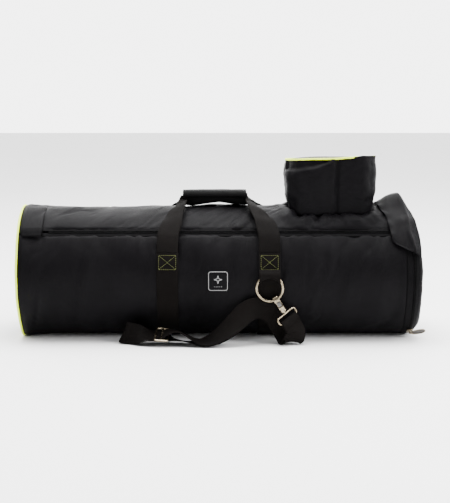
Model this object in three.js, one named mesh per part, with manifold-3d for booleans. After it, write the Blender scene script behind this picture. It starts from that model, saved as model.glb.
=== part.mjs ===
// A padded carry case for a short Newtonian telescope: a horizontal fabric tube with foam walls, a lid and
// end wall that open together, a raised pod for the focuser, two carry handles and a clip-on shoulder strap.
// Millimetres. X runs along the tube, -Y is the front with the zip, +Z is up, and the ground is Z = 0.
import * as THREE from "three";
import { mergeVertices } from "three/addons/utils/BufferGeometryUtils.js";
import Module from "manifold-3d";

const wasm = await Module();
wasm.setup();

// ---------------------------------------------------------------------------------------------------------
// Driving dimensions
// ---------------------------------------------------------------------------------------------------------
const GAP = 0.3; // between neighbouring pieces
const RADIUS = 124; // outside of the tube
const AXIS_HEIGHT = 122; // the tube's axis above the ground: the underside is a little flattened
const END_X = 378; // end faces, from the middle
const FABRIC = 1.2;
const FOAM = 15;
const LINING = 0.8;
const PIPE_RADIUS = 2.3;
const WEBBING = 1.8; // thickness of every strap
const STRAP_WIDTH = 40;
const DENT = WEBBING + GAP; // how far a strap under the case presses in

// Angles round the tube's axis, in degrees from +Y towards +Z
const REAR_SEAM = 40; // hinge line of the lid
const FRONT_ZIP = 136.8;
const FULL_TURN = 360;

// Along the tube
const COLLAR_X = -334; // the zip starts here; the top is sewn down to the left of it
const SHELL_END = 345;
const ZIP_SPLIT = 360; // the end zip's teeth meet here
const CAP_START = 370.5;

// Carry handles and the straps that run round the case
const LEG_LEFT = -98.8;
const LEG_RIGHT = 90.6;
const HANDLE_X = (LEG_LEFT + LEG_RIGHT) / 2;
const BOX_TOP = 158.6; // top of the sewn box that holds each handle
const GRIP_X = -9.5; // middle of the padded grip
const GRIP_HALF = 60.7;

// Focuser pod
const POD_X = 208;
const POD_TOP = 336;
const POD_BASE = { x: 79.5, y: 58, corner: 26 }; // half sizes where it meets the lid
const POD_CROWN = { x: 85, y: 63, corner: 30 }; // half sizes at its top
const POD_FOAM = 11;

// Strap hardware
const RING_RADIUS = 24.2;
const RING_WIRE = 2.4;
const RING_Y = 131.6;
const RING_Z = 106.5;
const LOOP_WIRE = 1.6;
const ADJUSTER_WIRE = 1.7;
const ADJUSTER_X = -108;
const DOUBLE_END = ADJUSTER_X + 20; // right of here the strap's front part lies double

// ---------------------------------------------------------------------------------------------------------
// Materials
// ---------------------------------------------------------------------------------------------------------
const material = (color, roughness, metalness = 0) =>
  new THREE.MeshStandardMaterial({ color, roughness, metalness });
const nylon = material(0x1d1c1f, 0.62);
const webbing = material(0x171614, 0.85);
const padding = material(0x3a3a3c, 0.95);
const lining = material(0x2a2a2d, 0.8);
const piping = material(0xd4f02c, 0.5);
const zipTape = material(0x141416, 0.9);
const zipTeeth = material(0x101012, 0.4);
const nickel = material(0xc9c4b8, 0.25, 1);
const darkMetal = material(0x5a5856, 0.35, 1);
const label = material(0x0d0d0e, 0.7);

// ---------------------------------------------------------------------------------------------------------
// Geometry helpers
// ---------------------------------------------------------------------------------------------------------
const rad = THREE.MathUtils.degToRad;
const vec = (x, y, z) => new THREE.Vector3(x, y, z);
const range = (from, to, steps) =>
  Array.from({ length: steps + 1 }, (_, i) => from + ((to - from) * i) / steps);

// A point on the tube at an angle and radius, kept above a flat height.
function around(x, angle, radius, flat = -Infinity) {
  const y = radius * Math.cos(rad(angle));
  const z = AXIS_HEIGHT + radius * Math.sin(rad(angle));
  return vec(x, y, Math.max(z, flat));
}

// A closed body through matching outlines. Open ends are capped, and the faces are turned to point out.
function loft(sections, closed = false) {
  const count = sections[0].length;
  const points = sections.flat();
  const faces = [];
  const last = closed ? sections.length : sections.length - 1;
  for (let i = 0; i < last; i++) {
    const here = i * count;
    const next = ((i + 1) % sections.length) * count;
    for (let k = 0; k < count; k++) {
      const side = (k + 1) % count;
      faces.push([here + k, next + k, next + side], [here + k, next + side, here + side]);
    }
  }
  if (!closed) {
    faces.push(...flatten(sections[0]));
    const start = (sections.length - 1) * count;
    const end = flatten(sections[sections.length - 1]);
    faces.push(...end.map(([a, b, c]) => [start + c, start + b, start + a]));
  }
  return turnedOut(points, faces);
}

// Triangles that fill a flat outline, in the order of its points.
function flatten(outline) {
  const normal = vec(0, 0, 0);
  outline.forEach((p, i) => normal.add(p.clone().cross(outline[(i + 1) % outline.length])));
  normal.normalize();
  const side = Math.abs(normal.z) < 0.9 ? vec(0, 0, 1) : vec(1, 0, 0);
  const u = side.cross(normal).normalize();
  const v = normal.clone().cross(u);
  const flat = outline.map((p) => new THREE.Vector2(p.dot(u), p.dot(v)));
  return THREE.ShapeUtils.triangulateShape(flat, []);
}

function turnedOut(points, faces) {
  let volume = 0;
  for (const [a, b, c] of faces) volume += points[a].dot(points[b].clone().cross(points[c]));
  const turned = volume < 0 ? faces.map(([a, b, c]) => [a, c, b]) : faces;
  const geometry = new THREE.BufferGeometry();
  geometry.setAttribute(
    "position",
    new THREE.Float32BufferAttribute(points.flatMap((p) => [p.x, p.y, p.z]), 3),
  );
  geometry.setIndex(turned.flat());
  return geometry;
}

// A curved wall of the tube: stations are { x, outer, inner, flatOuter, flatInner } along X.
function wall(angles, stations) {
  return loft(
    stations.map((s) => [
      ...angles.map((a) => around(s.x, a, s.outer, s.flatOuter)),
      ...angles.toReversed().map((a) => around(s.x, a, s.inner, s.flatInner)),
    ]),
  );
}

// A wall of even thickness between two places along X.
function plainWall(angles, x0, x1, outer, inner, flatOuter, flatInner) {
  const station = (x) => ({ x, outer, inner, flatOuter, flatInner });
  return wall(angles, [station(x0), station(x1)]);
}

// A profile of [x, radius, lowest height] turned round the tube's axis.
function turned(profile, angles) {
  return loft(angles.map((a) => profile.map(([x, r, low]) => around(x, a, r, low))));
}

// A full turn of a profile that starts and ends on the axis.
function disc(profile, steps) {
  const geometry = new THREE.LatheGeometry(profile.map(([x, r]) => new THREE.Vector2(r, x)), steps);
  geometry.applyMatrix4(new THREE.Matrix4().makeRotationZ(-Math.PI / 2));
  geometry.translate(0, 0, AXIS_HEIGHT);
  return geometry;
}

// Stations of a strap with its true directions across and up from its face.
function framed(stations) {
  return stations.map((s, i) => {
    const before = stations[Math.max(i - 1, 0)].p;
    const after = stations[Math.min(i + 1, stations.length - 1)].p;
    const along = after.clone().sub(before).normalize();
    const across = s.across.clone().addScaledVector(along, -s.across.dot(along)).normalize();
    return { ...s, across, up: along.clone().cross(across).normalize() };
  });
}

// A flat strap along framed stations.
function ribbon(stations) {
  return loft(
    stations.map(({ p, across, up, width, thickness }) => {
      const corner = (a, b) =>
        p.clone().addScaledVector(across, (a * width) / 2).addScaledVector(up, (b * thickness) / 2);
      return [corner(-1, -1), corner(1, -1), corner(1, 1), corner(-1, 1)];
    }),
  );
}

// The same stations lifted where the strap's edge would sink into the ground.
function grounded(stations) {
  return framed(stations).map((s) => {
    const reach = (s.width / 2) * Math.abs(s.across.z) + (s.thickness / 2) * Math.abs(s.up.z) + 0.1;
    return { ...s, p: vec(s.p.x, s.p.y, Math.max(s.p.z, reach)) };
  });
}

// Smooth stations between a few hand-placed ones.
function smoothed(keys, steps) {
  const path = new THREE.CatmullRomCurve3(keys.map((k) => k.p), false, "centripetal");
  const turn = new THREE.CatmullRomCurve3(keys.map((k) => k.across), false, "centripetal");
  return range(0, 1, steps).map((t) => {
    const at = t * (keys.length - 1);
    const i = Math.min(Math.floor(at), keys.length - 2);
    const share = at - i;
    const mix = (name) => keys[i][name] * (1 - share) + keys[i + 1][name] * share;
    const width = mix("width");
    return { p: path.getPoint(t), across: turn.getPoint(t), width, thickness: mix("thickness") };
  });
}

// A round wire along a line of points in one plane, whose normal is given.
function wire(points, radius, normal, closed, sides = 8) {
  const sections = points.map((p, i) => {
    const before = points[closed ? (i + points.length - 1) % points.length : Math.max(i - 1, 0)];
    const after = points[closed ? (i + 1) % points.length : Math.min(i + 1, points.length - 1)];
    const along = after.clone().sub(before).normalize();
    const side = along.clone().cross(normal).normalize();
    return range(0, FULL_TURN, sides)
      .slice(0, -1)
      .map((a) =>
        p
          .clone()
          .addScaledVector(side, radius * Math.cos(rad(a)))
          .addScaledVector(normal, radius * Math.sin(rad(a))),
      );
  });
  return loft(sections, closed);
}

function torus(centre, radius, wireRadius, u, v, steps, sides) {
  const points = range(0, FULL_TURN, steps)
    .slice(0, -1)
    .map((a) =>
      centre
        .clone()
        .addScaledVector(u, radius * Math.cos(rad(a)))
        .addScaledVector(v, radius * Math.sin(rad(a))),
    );
  return wire(points, wireRadius, u.clone().cross(v), true, sides);
}

// A flat plate: an outline in the plane of u and v, given depth along their normal.
function plate(outline, origin, u, v, from, to) {
  const normal = u.clone().cross(v);
  return loft(
    [from, to].map((d) =>
      outline.map(([a, b]) =>
        origin.clone().addScaledVector(u, a).addScaledVector(v, b).addScaledVector(normal, d),
      ),
    ),
  );
}

// Points round a rectangle with round corners, as [x, y], with its straight sides also divided.
function roundRect(halfX, halfY, corner, perCorner, perSide = 1) {
  const centres = [[1, 1, 0], [-1, 1, 90], [-1, -1, 180], [1, -1, 270]];
  const points = centres.flatMap(([sx, sy, start]) =>
    range(start, start + 90, perCorner).map((a) => [
      sx * (halfX - corner) + corner * Math.cos(rad(a)),
      sy * (halfY - corner) + corner * Math.sin(rad(a)),
    ]),
  );
  return points.flatMap(([x, y], i) => {
    const [nextX, nextY] = points[(i + 1) % points.length];
    const pieces = i % (perCorner + 1) === perCorner ? perSide : 1;
    return range(0, 1, pieces).slice(0, -1).map((t) => [x + (nextX - x) * t, y + (nextY - y) * t]);
  });
}

// Booleans
function solidOf(geometry) {
  const bare = geometry.clone();
  bare.deleteAttribute("normal");
  bare.deleteAttribute("uv");
  const merged = mergeVertices(bare, 1e-3);
  return new wasm.Manifold(
    new wasm.Mesh({
      numProp: 3,
      vertProperties: merged.attributes.position.array,
      triVerts: new Uint32Array(merged.index.array),
    }),
  );
}

function geometryOf(solid) {
  const { numProp, numVert, vertProperties, triVerts } = solid.getMesh();
  const positions = new Float32Array(numVert * 3);
  for (let i = 0; i < numVert; i++) {
    positions.set(vertProperties.subarray(i * numProp, i * numProp + 3), i * 3);
  }
  return new THREE.BufferGeometry()
    .setAttribute("position", new THREE.BufferAttribute(positions, 3))
    .setIndex(new THREE.BufferAttribute(triVerts, 1));
}

const cut = (geometry, ...tools) =>
  geometryOf(tools.reduce((solid, tool) => solid.subtract(solidOf(tool)), solidOf(geometry)));
const join = (first, ...others) =>
  geometryOf(others.reduce((solid, other) => solid.add(solidOf(other)), solidOf(first)));

const mirroredY = (geometry) => {
  const copy = geometry.clone().applyMatrix4(new THREE.Matrix4().makeScale(1, -1, 1));
  const index = copy.index.array;
  for (let i = 0; i < index.length; i += 3) [index[i + 1], index[i + 2]] = [index[i + 2], index[i + 1]];
  return copy;
};

// ---------------------------------------------------------------------------------------------------------
// The group
// ---------------------------------------------------------------------------------------------------------
const carryCase = new THREE.Group();
function piece(name, geometry, look) {
  const mesh = new THREE.Mesh(geometry, look);
  mesh.name = name;
  carryCase.add(mesh);
}

// ---------------------------------------------------------------------------------------------------------
// Tube walls
// ---------------------------------------------------------------------------------------------------------
const BODY_FRONT = FRONT_ZIP + 4.6; // edge of the body fabric below the zip
const BODY_REAR = FULL_TURN + REAR_SEAM - 0.6;
const LID_REAR = REAR_SEAM + 0.6;
const LID_FRONT = FRONT_ZIP - 4.4;
const STRAP_UNDER_X = -150; // where the shoulder strap passes under the case
const BODY_ANGLES = range(BODY_FRONT, BODY_REAR, 34);
const LID_ANGLES = range(LID_REAR, LID_FRONT, 16);
const BINDING_ANGLES = range(REAR_SEAM - 3.4, REAR_SEAM - 0.6, 2);
const COLLAR_ANGLES = range(LID_REAR, BODY_FRONT - 0.3, 17);
const FOAM_OUT = RADIUS - FABRIC - GAP;
const FOAM_IN = FOAM_OUT - FOAM;
const LINING_OUT = FOAM_IN - GAP;
const LINING_IN = LINING_OUT - LINING;

// Angles of the body wall between two of its own, so that what lies on it has the same facets.
const bodyAngles = (from, to) => [from, ...BODY_ANGLES.filter((a) => a > from + 1 && a < to - 1), to];

function bodyWalls() {
  const station = (x, outer, dent) => ({
    x,
    outer,
    inner: outer - FABRIC,
    flatOuter: dent,
    flatInner: dent + FABRIC,
  });
  const end = [station(-END_X, 118, 0), station(-375, 121.6, 0), station(-367, RADIUS, 0)];
  const dents = [STRAP_UNDER_X, LEG_LEFT, LEG_RIGHT].flatMap((centre) => {
    const near = STRAP_WIDTH / 2 + 1;
    const far = near + 2;
    return [
      station(centre - far, RADIUS, 0),
      station(centre - near, RADIUS, DENT),
      station(centre + near, RADIUS, DENT),
      station(centre + far, RADIUS, 0),
    ];
  });
  piece("outer_shell", wall(BODY_ANGLES, [...end, ...dents, station(SHELL_END, RADIUS, 0)]), nylon);

  const foamLow = DENT + FABRIC + GAP;
  const liningLow = foamLow + FOAM + GAP;
  const inside = [-359.5, SHELL_END - 1];
  piece("body_foam", plainWall(BODY_ANGLES, ...inside, FOAM_OUT, FOAM_IN, foamLow, foamLow + FOAM), padding);
  piece(
    "body_lining",
    plainWall(BODY_ANGLES, ...inside, LINING_OUT, LINING_IN, liningLow, liningLow + LINING),
    lining,
  );
  // the top of the left end, sewn down beside the start of the zip
  const top = [...end, station(COLLAR_X - 0.5, RADIUS, 0)];
  piece("left_collar", wall(COLLAR_ANGLES, top), nylon);
  piece("left_collar_foam", plainWall(COLLAR_ANGLES, -359.5, COLLAR_X - 0.5, FOAM_OUT, FOAM_IN), padding);
  piece(
    "rear_seam_binding",
    plainWall(BINDING_ANGLES, COLLAR_X + 2, SHELL_END - 2, RADIUS + GAP + 1, RADIUS + GAP),
    webbing,
  );
}

function leftEnd() {
  const slab = (x0, x1, radius) => [[x0, 0], [x0, radius], [x1, radius], [x1, 0]];
  const foamStart = -END_X + FABRIC + GAP;
  const foamEnd = foamStart + FOAM;
  const liningStart = foamEnd + GAP;
  piece("left_end_cap", disc(slab(-END_X, -END_X + FABRIC, 116.4), 40), nylon);
  piece("left_end_foam", disc(slab(foamStart, foamEnd, 116), 32), padding);
  piece("left_end_lining", disc(slab(liningStart, liningStart + LINING, 116), 32), lining);
  const centre = vec(-END_X - PIPE_RADIUS - GAP, 0, AXIS_HEIGHT);
  piece("left_piping", torus(centre, 117.4, PIPE_RADIUS, vec(0, 1, 0), vec(0, 0, 1), 44, 8), piping);
}

// ---------------------------------------------------------------------------------------------------------
// Zips
// ---------------------------------------------------------------------------------------------------------
const TOOTH_HEIGHT = 1.1;
const SLIDER_ANGLE = 240;

function zips() {
  const tape = (from, to) => plainWall(range(from, to, 2), COLLAR_X, SHELL_END, RADIUS, RADIUS - FABRIC);
  const teeth = (from, to) =>
    plainWall([from, to], COLLAR_X + 4, SHELL_END - 0.5, RADIUS + TOOTH_HEIGHT, RADIUS - 1.3);
  piece("front_zip_tape_lower", tape(FRONT_ZIP + 1.4, FRONT_ZIP + 4.4), zipTape);
  piece("front_zip_teeth_lower", teeth(FRONT_ZIP + 0.15, FRONT_ZIP + 1.2), zipTeeth);
  piece("front_zip_tape_upper", tape(FRONT_ZIP - 4.2, FRONT_ZIP - 1.4), zipTape);
  piece("front_zip_teeth_upper", teeth(FRONT_ZIP - 1.2, FRONT_ZIP - 0.15), zipTeeth);
  // a fabric tab over the start of the zip
  piece(
    "zip_garage",
    plainWall(range(LID_FRONT, BODY_FRONT + 0.8, 4), -372, COLLAR_X - 1, RADIUS + GAP + FABRIC, RADIUS + GAP),
    zipTape,
  );
  // the end zip runs from the front corner under the case to the hinge line
  const angles = bodyAngles(FRONT_ZIP + 1.4, BODY_REAR);
  const strip = (x0, x1, outer0, outer1, thick) => [
    [x0, outer0, 0], [x1, outer1, 0], [x1, outer1 - thick, thick], [x0, outer0 - thick, thick],
  ];
  piece("end_zip_tape_body", turned(strip(345.3, 358.2, 124, 123, 1.2), angles), zipTape);
  piece("end_zip_teeth_body", turned(strip(358.4, 359.85, 124, 123.9, 2.5), angles), zipTeeth);
  piece("end_zip_teeth_cap", turned(strip(360.15, 361.6, 123.9, 123.7, 2.5), angles), zipTeeth);
  piece("end_zip_tape_cap", turned(strip(361.8, 370.2, 122.6, 119.4, 1.2), angles), zipTape);
  slider();
}

// The slider rides outside the end zip; its pull turns on the slider's bridge and sticks out past the end.
function slider() {
  const u = vec(1, 0, 0);
  const out = vec(0, Math.cos(rad(SLIDER_ANGLE)), Math.sin(rad(SLIDER_ANGLE)));
  const along = u.clone().cross(out);
  const seat = around(ZIP_SPLIT, SLIDER_ANGLE, RADIUS + 0.7);
  const top = 3;
  const shield = [[-5.5, -8], [5.5, -8], [6.5, -2], [5, 8], [-5, 8], [-6.5, -2]];
  const base = plate(shield, seat, u, along, 0, -top);
  const bridge = plate(
    [[-4, 0], [-2.6, 0], [-2.6, 2.4], [2.6, 2.4], [2.6, 0], [4, 0], [4, 3.8], [-4, 3.8]],
    seat.clone().addScaledVector(out, top - 0.1), along, out, -0.8, 0.8,
  );
  piece("zip_slider", join(base, bridge), nickel);
  const bar = seat.clone().addScaledVector(out, top + 3);
  const onCircle = (radius) => (a) => [radius * Math.cos(rad(a)), radius * Math.sin(rad(a))];
  const circle = (radius) => range(0, FULL_TURN, 12).slice(0, -1).map(onCircle(radius));
  const eye = plate(circle(2.7), bar, u, out, -2, 2);
  const hole = plate(circle(1.4), bar, u, out, -3, 3);
  const tongue = plate(
    [[2, -2], [6, -2], [9, -4.5], [28, -4.5], [30, -2.5], [30, 2.5], [28, 4.5], [9, 4.5], [6, 2], [2, 2]],
    bar, u, along, -0.8, 0.8,
  );
  const slot = plate([[15, -2], [25, -2], [25, 2], [15, 2]], bar, u, along, -2, 2);
  piece("zip_pull", cut(join(eye, tongue), hole, slot), nickel);
}

// ---------------------------------------------------------------------------------------------------------
// Lid, end wall and pod
// ---------------------------------------------------------------------------------------------------------
const podSize = (z) => {
  const share = (z - AXIS_HEIGHT - 90) / (POD_TOP - AXIS_HEIGHT - 90);
  const mix = (name) => POD_BASE[name] + (POD_CROWN[name] - POD_BASE[name]) * share;
  return { x: mix("x"), y: mix("y"), corner: mix("corner") };
};

const podOutline = (depth, z) => {
  const s = podSize(z);
  return roundRect(s.x - depth, s.y - depth, s.corner - depth, 4, 6).map(([x, y]) => vec(POD_X + x, y, z));
};

// A wall of the pod between two distances in from its outside, standing on the tube.
function podWall(outside, inside, top) {
  const base = AXIS_HEIGHT + 90;
  const seat = RADIUS + GAP;
  const foot = (p) => vec(p.x, p.y, AXIS_HEIGHT + Math.sqrt(seat ** 2 - p.y ** 2));
  const rings = [
    podOutline(outside, base).map(foot),
    podOutline(outside, top),
    podOutline(inside, top),
    podOutline(inside, base).map(foot),
  ];
  return loft(rings[0].map((_, i) => rings.map((ring) => ring[i])), true);
}

const podPlate = (depth, z0, z1) => loft([podOutline(depth, z0), podOutline(depth, z1)]);

function lid() {
  const station = (x, outer) => ({ x, outer, inner: outer - FABRIC });
  const stations = [
    station(COLLAR_X, RADIUS),
    station(SHELL_END, RADIUS),
    station(ZIP_SPLIT, 123.2),
    station(CAP_START - 0.5, 119.4),
  ];
  const opening = podPlate(FABRIC + POD_FOAM + LINING + 3 * GAP, AXIS_HEIGHT + 60, POD_TOP);
  const ends = [COLLAR_X, SHELL_END];
  piece("lid_shell", cut(wall(LID_ANGLES, stations), opening), nylon);
  piece("lid_foam", cut(plainWall(LID_ANGLES, ...ends, FOAM_OUT, FOAM_IN), opening), padding);
  piece("lid_lining", cut(plainWall(LID_ANGLES, ...ends, LINING_OUT, LINING_IN), opening), lining);
  piece(
    "right_end_cap",
    disc(
      [
        [376.8, 0], [376.8, 98], [374.6, 108.5], [CAP_START, 117.3], [CAP_START + 0.9, 118.3],
        [375.6, 109.3], [END_X, 98.5], [END_X, 0],
      ],
      40,
    ),
    nylon,
  );
  piece("right_end_foam", disc([[362, 0], [362, 117], [370, 115.6], [376.4, 97.5], [376.4, 0]], 32), padding);
  piece("right_end_lining", disc([[360.9, 0], [360.9, 117], [361.7, 117], [361.7, 0]], 32), lining);
}

function pod() {
  const foamTop = POD_TOP - POD_FOAM;
  piece("pod_shell", podWall(0, FABRIC, POD_TOP), nylon);
  piece("pod_foam", podWall(FABRIC + 2 * GAP, FABRIC + POD_FOAM, foamTop), padding);
  piece("pod_lining", podWall(FABRIC + POD_FOAM + GAP, FABRIC + POD_FOAM + GAP + LINING, foamTop), lining);
  piece("pod_top", podPlate(0, POD_TOP + GAP, POD_TOP + GAP + FABRIC), nylon);
  piece("pod_top_foam", podPlate(FABRIC + 2 * GAP, foamTop + GAP, POD_TOP - 0.1), padding);
  const height = POD_TOP + 2 * GAP + FABRIC + PIPE_RADIUS;
  const path = roundRect(POD_CROWN.x + 0.5, POD_CROWN.y + 0.5, POD_CROWN.corner, 6);
  const line = path.map(([x, y]) => vec(POD_X + x, y, height));
  piece("pod_piping", wire(line, PIPE_RADIUS, vec(0, 0, 1), true), piping);
}

// A soft flap sewn across the top of the end, draped over the zip corner.
function stormFlap() {
  const first = 74;
  const tip = 160; // the flap narrows to a point at its lower end
  const crest = (a, x) => Math.exp(-(((a - 98) / 13) ** 2) - ((x - 341) / 16) ** 2);
  const height = (a, x) => 3 + 18 * crest(a, x);
  const sweep = (a) => Math.max(0, (a - 138) / (tip - 138)) ** 2.5;
  const leftEdge = (a) => 296 + 19 * THREE.MathUtils.smoothstep(a, 95, 124) + 53 * sweep(a);
  const rightEdge = (a) => 338 + 33.5 * Math.min(1, Math.max(0, (a - 88) / 50)) ** 0.7;
  const angles = range(first, tip, 20);
  const skin = (offset) =>
    angles.map((a) =>
      range(leftEdge(a), rightEdge(a), 6).map((x) => around(x, a, RADIUS + height(a, x) + offset)),
    );
  const outer = skin(1.6);
  const inner = skin(0);
  piece("storm_flap", loft(outer.map((row, i) => [...row, ...inner[i].toReversed()])), nylon);
}

// ---------------------------------------------------------------------------------------------------------
// Webbing round the case and carry handles
// ---------------------------------------------------------------------------------------------------------
function girthStraps() {
  const inner = RADIUS + GAP;
  const angles = bodyAngles(BOX_TOP, 3 * 180 - BOX_TOP);
  const half = STRAP_WIDTH / 2;
  const band = (x) => plainWall(angles, x - half, x + half, inner + WEBBING, inner, 0, WEBBING);
  piece("left_girth_strap", band(LEG_LEFT), webbing);
  piece("right_girth_strap", band(LEG_RIGHT), webbing);
  piece("label_patch", plainWall(range(172, 189.6, 6), -22, 16, inner + 1, inner), label);
}

// One side of the front handle, from the sewn foot of its leg into the grip.
function handleSide(legX, gripEnd) {
  const key = (p, across, width, thickness) => ({ p, across, width, thickness });
  const side = Math.sign(gripEnd - legX);
  const leg = (inward, angle, height) => around(legX + side * inward, angle, RADIUS + height);
  // between the leg and the end of the grip
  const rising = (share, y, z) => vec(legX + (gripEnd - legX) * share, y, z);
  const inGrip = (inward, y, z) => vec(gripEnd + side * inward, y, z);
  const flat = vec(1, 0, 0);
  return [
    key(leg(0, BOX_TOP - 0.6, 1.4), flat, STRAP_WIDTH, WEBBING),
    key(leg(0, 154, 3.2), flat, STRAP_WIDTH, WEBBING),
    key(leg(0, 148, 7), flat, STRAP_WIDTH, WEBBING),
    key(leg(1.5, 141, 10), vec(1, 0, side * 0.05), STRAP_WIDTH, WEBBING),
    key(leg(6, 128, 10), vec(1, side * 0.1, side * 0.22), 39, WEBBING),
    key(rising(0.5, -55, 246.5), vec(0.85, side * 0.3, side * 0.42), 33, 2.2),
    key(rising(0.7, -35, 254.5), vec(0.7, side * 0.6, side * 0.4), 20, 2.8),
    key(rising(0.84, -15, 260.3), vec(0.2, side, side * 0.1), 12, 3.4),
    key(inGrip(8, -10.5, 262), vec(0, side, 0), 13, 3.4),
    key(inGrip(18, -10, 262.5), vec(0, side, 0), 13, 3.4),
    key(inGrip(45, -10, 263), vec(0, side, 0), 13, 3.4),
  ];
}

function handleKeys() {
  const left = handleSide(LEG_LEFT, GRIP_X - GRIP_HALF);
  // the right side turns its width the same way round inside the grip, so that the strap doesn't twist over
  const right = handleSide(LEG_RIGHT, GRIP_X + GRIP_HALF).map((k) => ({
    ...k,
    across: k.across.y < -0.67 ? k.across.negate() : k.across,
  }));
  return [...left, ...right.toReversed()];
}

// Half of the padded grip: a channel round the webbing, open towards the other handle.
function gripSleeve() {
  const inner = -0.3;
  const top = 273;
  const sections = range(-GRIP_HALF, GRIP_HALF, 8).map((x) => {
    const rise = 5.5 * Math.cos((x / GRIP_HALF) * (Math.PI / 2)) ** 0.8;
    const low = 249.5 + rise;
    const outside = [
      [inner, top], [-17, top], [-22, top - 2.5], [-24, top - 8], [-23.4, low + 6], [-20, low + 1.6],
      [-14, low], [inner, low],
    ];
    const inside = [
      [inner, low + 3.2], [-13, low + 3.2], [-20.2, low + 8], [-20.4, top - 8], [-16, top - 3.2],
      [inner, top - 3.2],
    ];
    return [...outside, ...inside].map(([y, z]) => vec(GRIP_X + x, y, z));
  });
  return loft(sections);
}

function handles() {
  const strap = ribbon(framed(smoothed(handleKeys(), 48)));
  const sleeve = gripSleeve();
  piece("front_handle_webbing", strap, webbing);
  piece("front_grip_sleeve", sleeve, nylon);
  piece("rear_handle_webbing", mirroredY(strap), webbing);
  piece("rear_grip_sleeve", mirroredY(sleeve), nylon);
  const tab = [[24.4, 268], [24.6, 262], [24.3, 257], [25.8, 257], [26.2, 262.4], [25.6, 268.4]];
  piece("grip_closure_tab", loft([-50, 50].map((x) => tab.map(([y, z]) => vec(GRIP_X + x, y, z)))), nylon);
}

// ---------------------------------------------------------------------------------------------------------
// Rings, snap hooks and shoulder strap
// ---------------------------------------------------------------------------------------------------------
// A loop of webbing that holds the top of a ring; it reaches lower where the ring's wire does.
function ringKeeper(x, side) {
  const half = STRAP_WIDTH / 2 - 1;
  return loft(
    range(-half, half, 6).map((across) => {
      const low = RING_Z + Math.sqrt(RING_RADIUS ** 2 - across ** 2) - RING_WIRE - 4.4;
      const outline = [
        [126.8, 146], [126.8, low + 4], [128, low + 1], [132, low], [138, low + 1.6], [140.2, low + 6],
        [139.4, 132], [134, 141], [129.4, 146],
        [128.6, 144.4], [132.4, 140], [137.6, 131.6], [138.4, low + 6], [137, low + 3], [132, low + 1.8],
        [129.2, low + 2.6], [128.6, low + 5], [128.6, 142],
      ];
      return outline.map(([y, z]) => vec(x + across, side * y, z));
    }),
  );
}

// A snap hook, measured along its shank from the ring's wire
const HOOK = {
  half: 7.2, // half its width
  bar: 3.2,
  slotTop: -4.2,
  mouth: 4.2,
  slotEnd: 15,
  base: 26,
  thickness: 9.8,
  barrel: 6.2,
};
const HOOK_NECK = 3.2;
const LOOP_TURN = -35;

// Directions of a snap hook that hangs on a ring: down its shank, out of its gate, and across it.
function hookFrame(ringX, side, ringAngle, lean) {
  const shank = vec(Math.sin(rad(lean)), 0, -Math.cos(rad(lean)));
  const gate = vec(0, side, 0);
  const centre = vec(ringX, side * RING_Y, RING_Z);
  const outward = vec(Math.cos(rad(ringAngle)), 0, Math.sin(rad(ringAngle)));
  const eye = centre.clone().addScaledVector(outward, RING_RADIUS);
  return { eye, shank, gate, across: shank.clone().cross(gate) };
}

// The same directions for the loop below the hook, which hangs turned on the hook's neck.
function swungLoop({ eye, shank, gate, across }) {
  const [c, s] = [Math.cos(rad(LOOP_TURN)), Math.sin(rad(LOOP_TURN))];
  const turn = (v, w) => v.clone().multiplyScalar(c).addScaledVector(w, s);
  return { eye, shank, gate: turn(gate, across), across: turn(across, gate.clone().negate()) };
}

const along = (frame, distance) => frame.eye.clone().addScaledVector(frame.shank, distance);

// The hook's slot holds the ring's wire, and the gate closes the slot's open side.
function snapHook(name, frame) {
  const { eye, shank, gate } = frame;
  const { half, bar, slotTop, mouth, slotEnd, base, thickness, barrel } = HOOK;
  const capsule = (h, from, to) => {
    const end = (a) => [from + h + h * Math.cos(rad(a)), h * Math.sin(rad(a))];
    return [...range(180, 270, 4).map(end), [to, -h], [to, h], ...range(90, 180, 4).slice(0, -1).map(end)];
  };
  const make = (outline, from, to) => plate(outline, eye, shank, gate, from, to);
  const body = make(capsule(half, slotTop - bar, slotEnd + 4), -thickness / 2, thickness / 2);
  const slot = make(capsule(half - bar, slotTop, slotEnd), -thickness, thickness);
  const gap = [[mouth, 0], [slotEnd, 0], [slotEnd, half + 1], [mouth, half + 1]];
  const open = make(gap, -thickness, thickness);
  const shaft = (distances, radius, sides) =>
    wire(distances.map((d) => along(frame, d)), radius, gate, false, sides);
  const barrelBody = shaft([slotEnd + 0.6, base - 2, base], barrel, 16);
  const neck = shaft([base - 1, base + HOOK_NECK / 2, base + HOOK_NECK], 2.8);
  piece(`hook_body_${name}`, join(cut(body, slot, open), barrelBody, neck), nickel);
  const gateFrom = mouth + GAP;
  const gateTo = slotEnd - 3 * GAP;
  const bladeSide = half - bar + 0.2;
  piece(
    `hook_gate_${name}`,
    make([[gateFrom, bladeSide], [gateTo, bladeSide], [gateTo, half], [gateFrom, half]], -3.6, 3.6),
    darkMetal,
  );
}

const LOOP_NEAR = HOOK.base + HOOK_NECK + GAP + LOOP_WIRE; // centre line of the loop's bar beside the hook
const LOOP_DEPTH = 12;
const FOLD_END = LOOP_NEAR + LOOP_DEPTH + 12;

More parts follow.
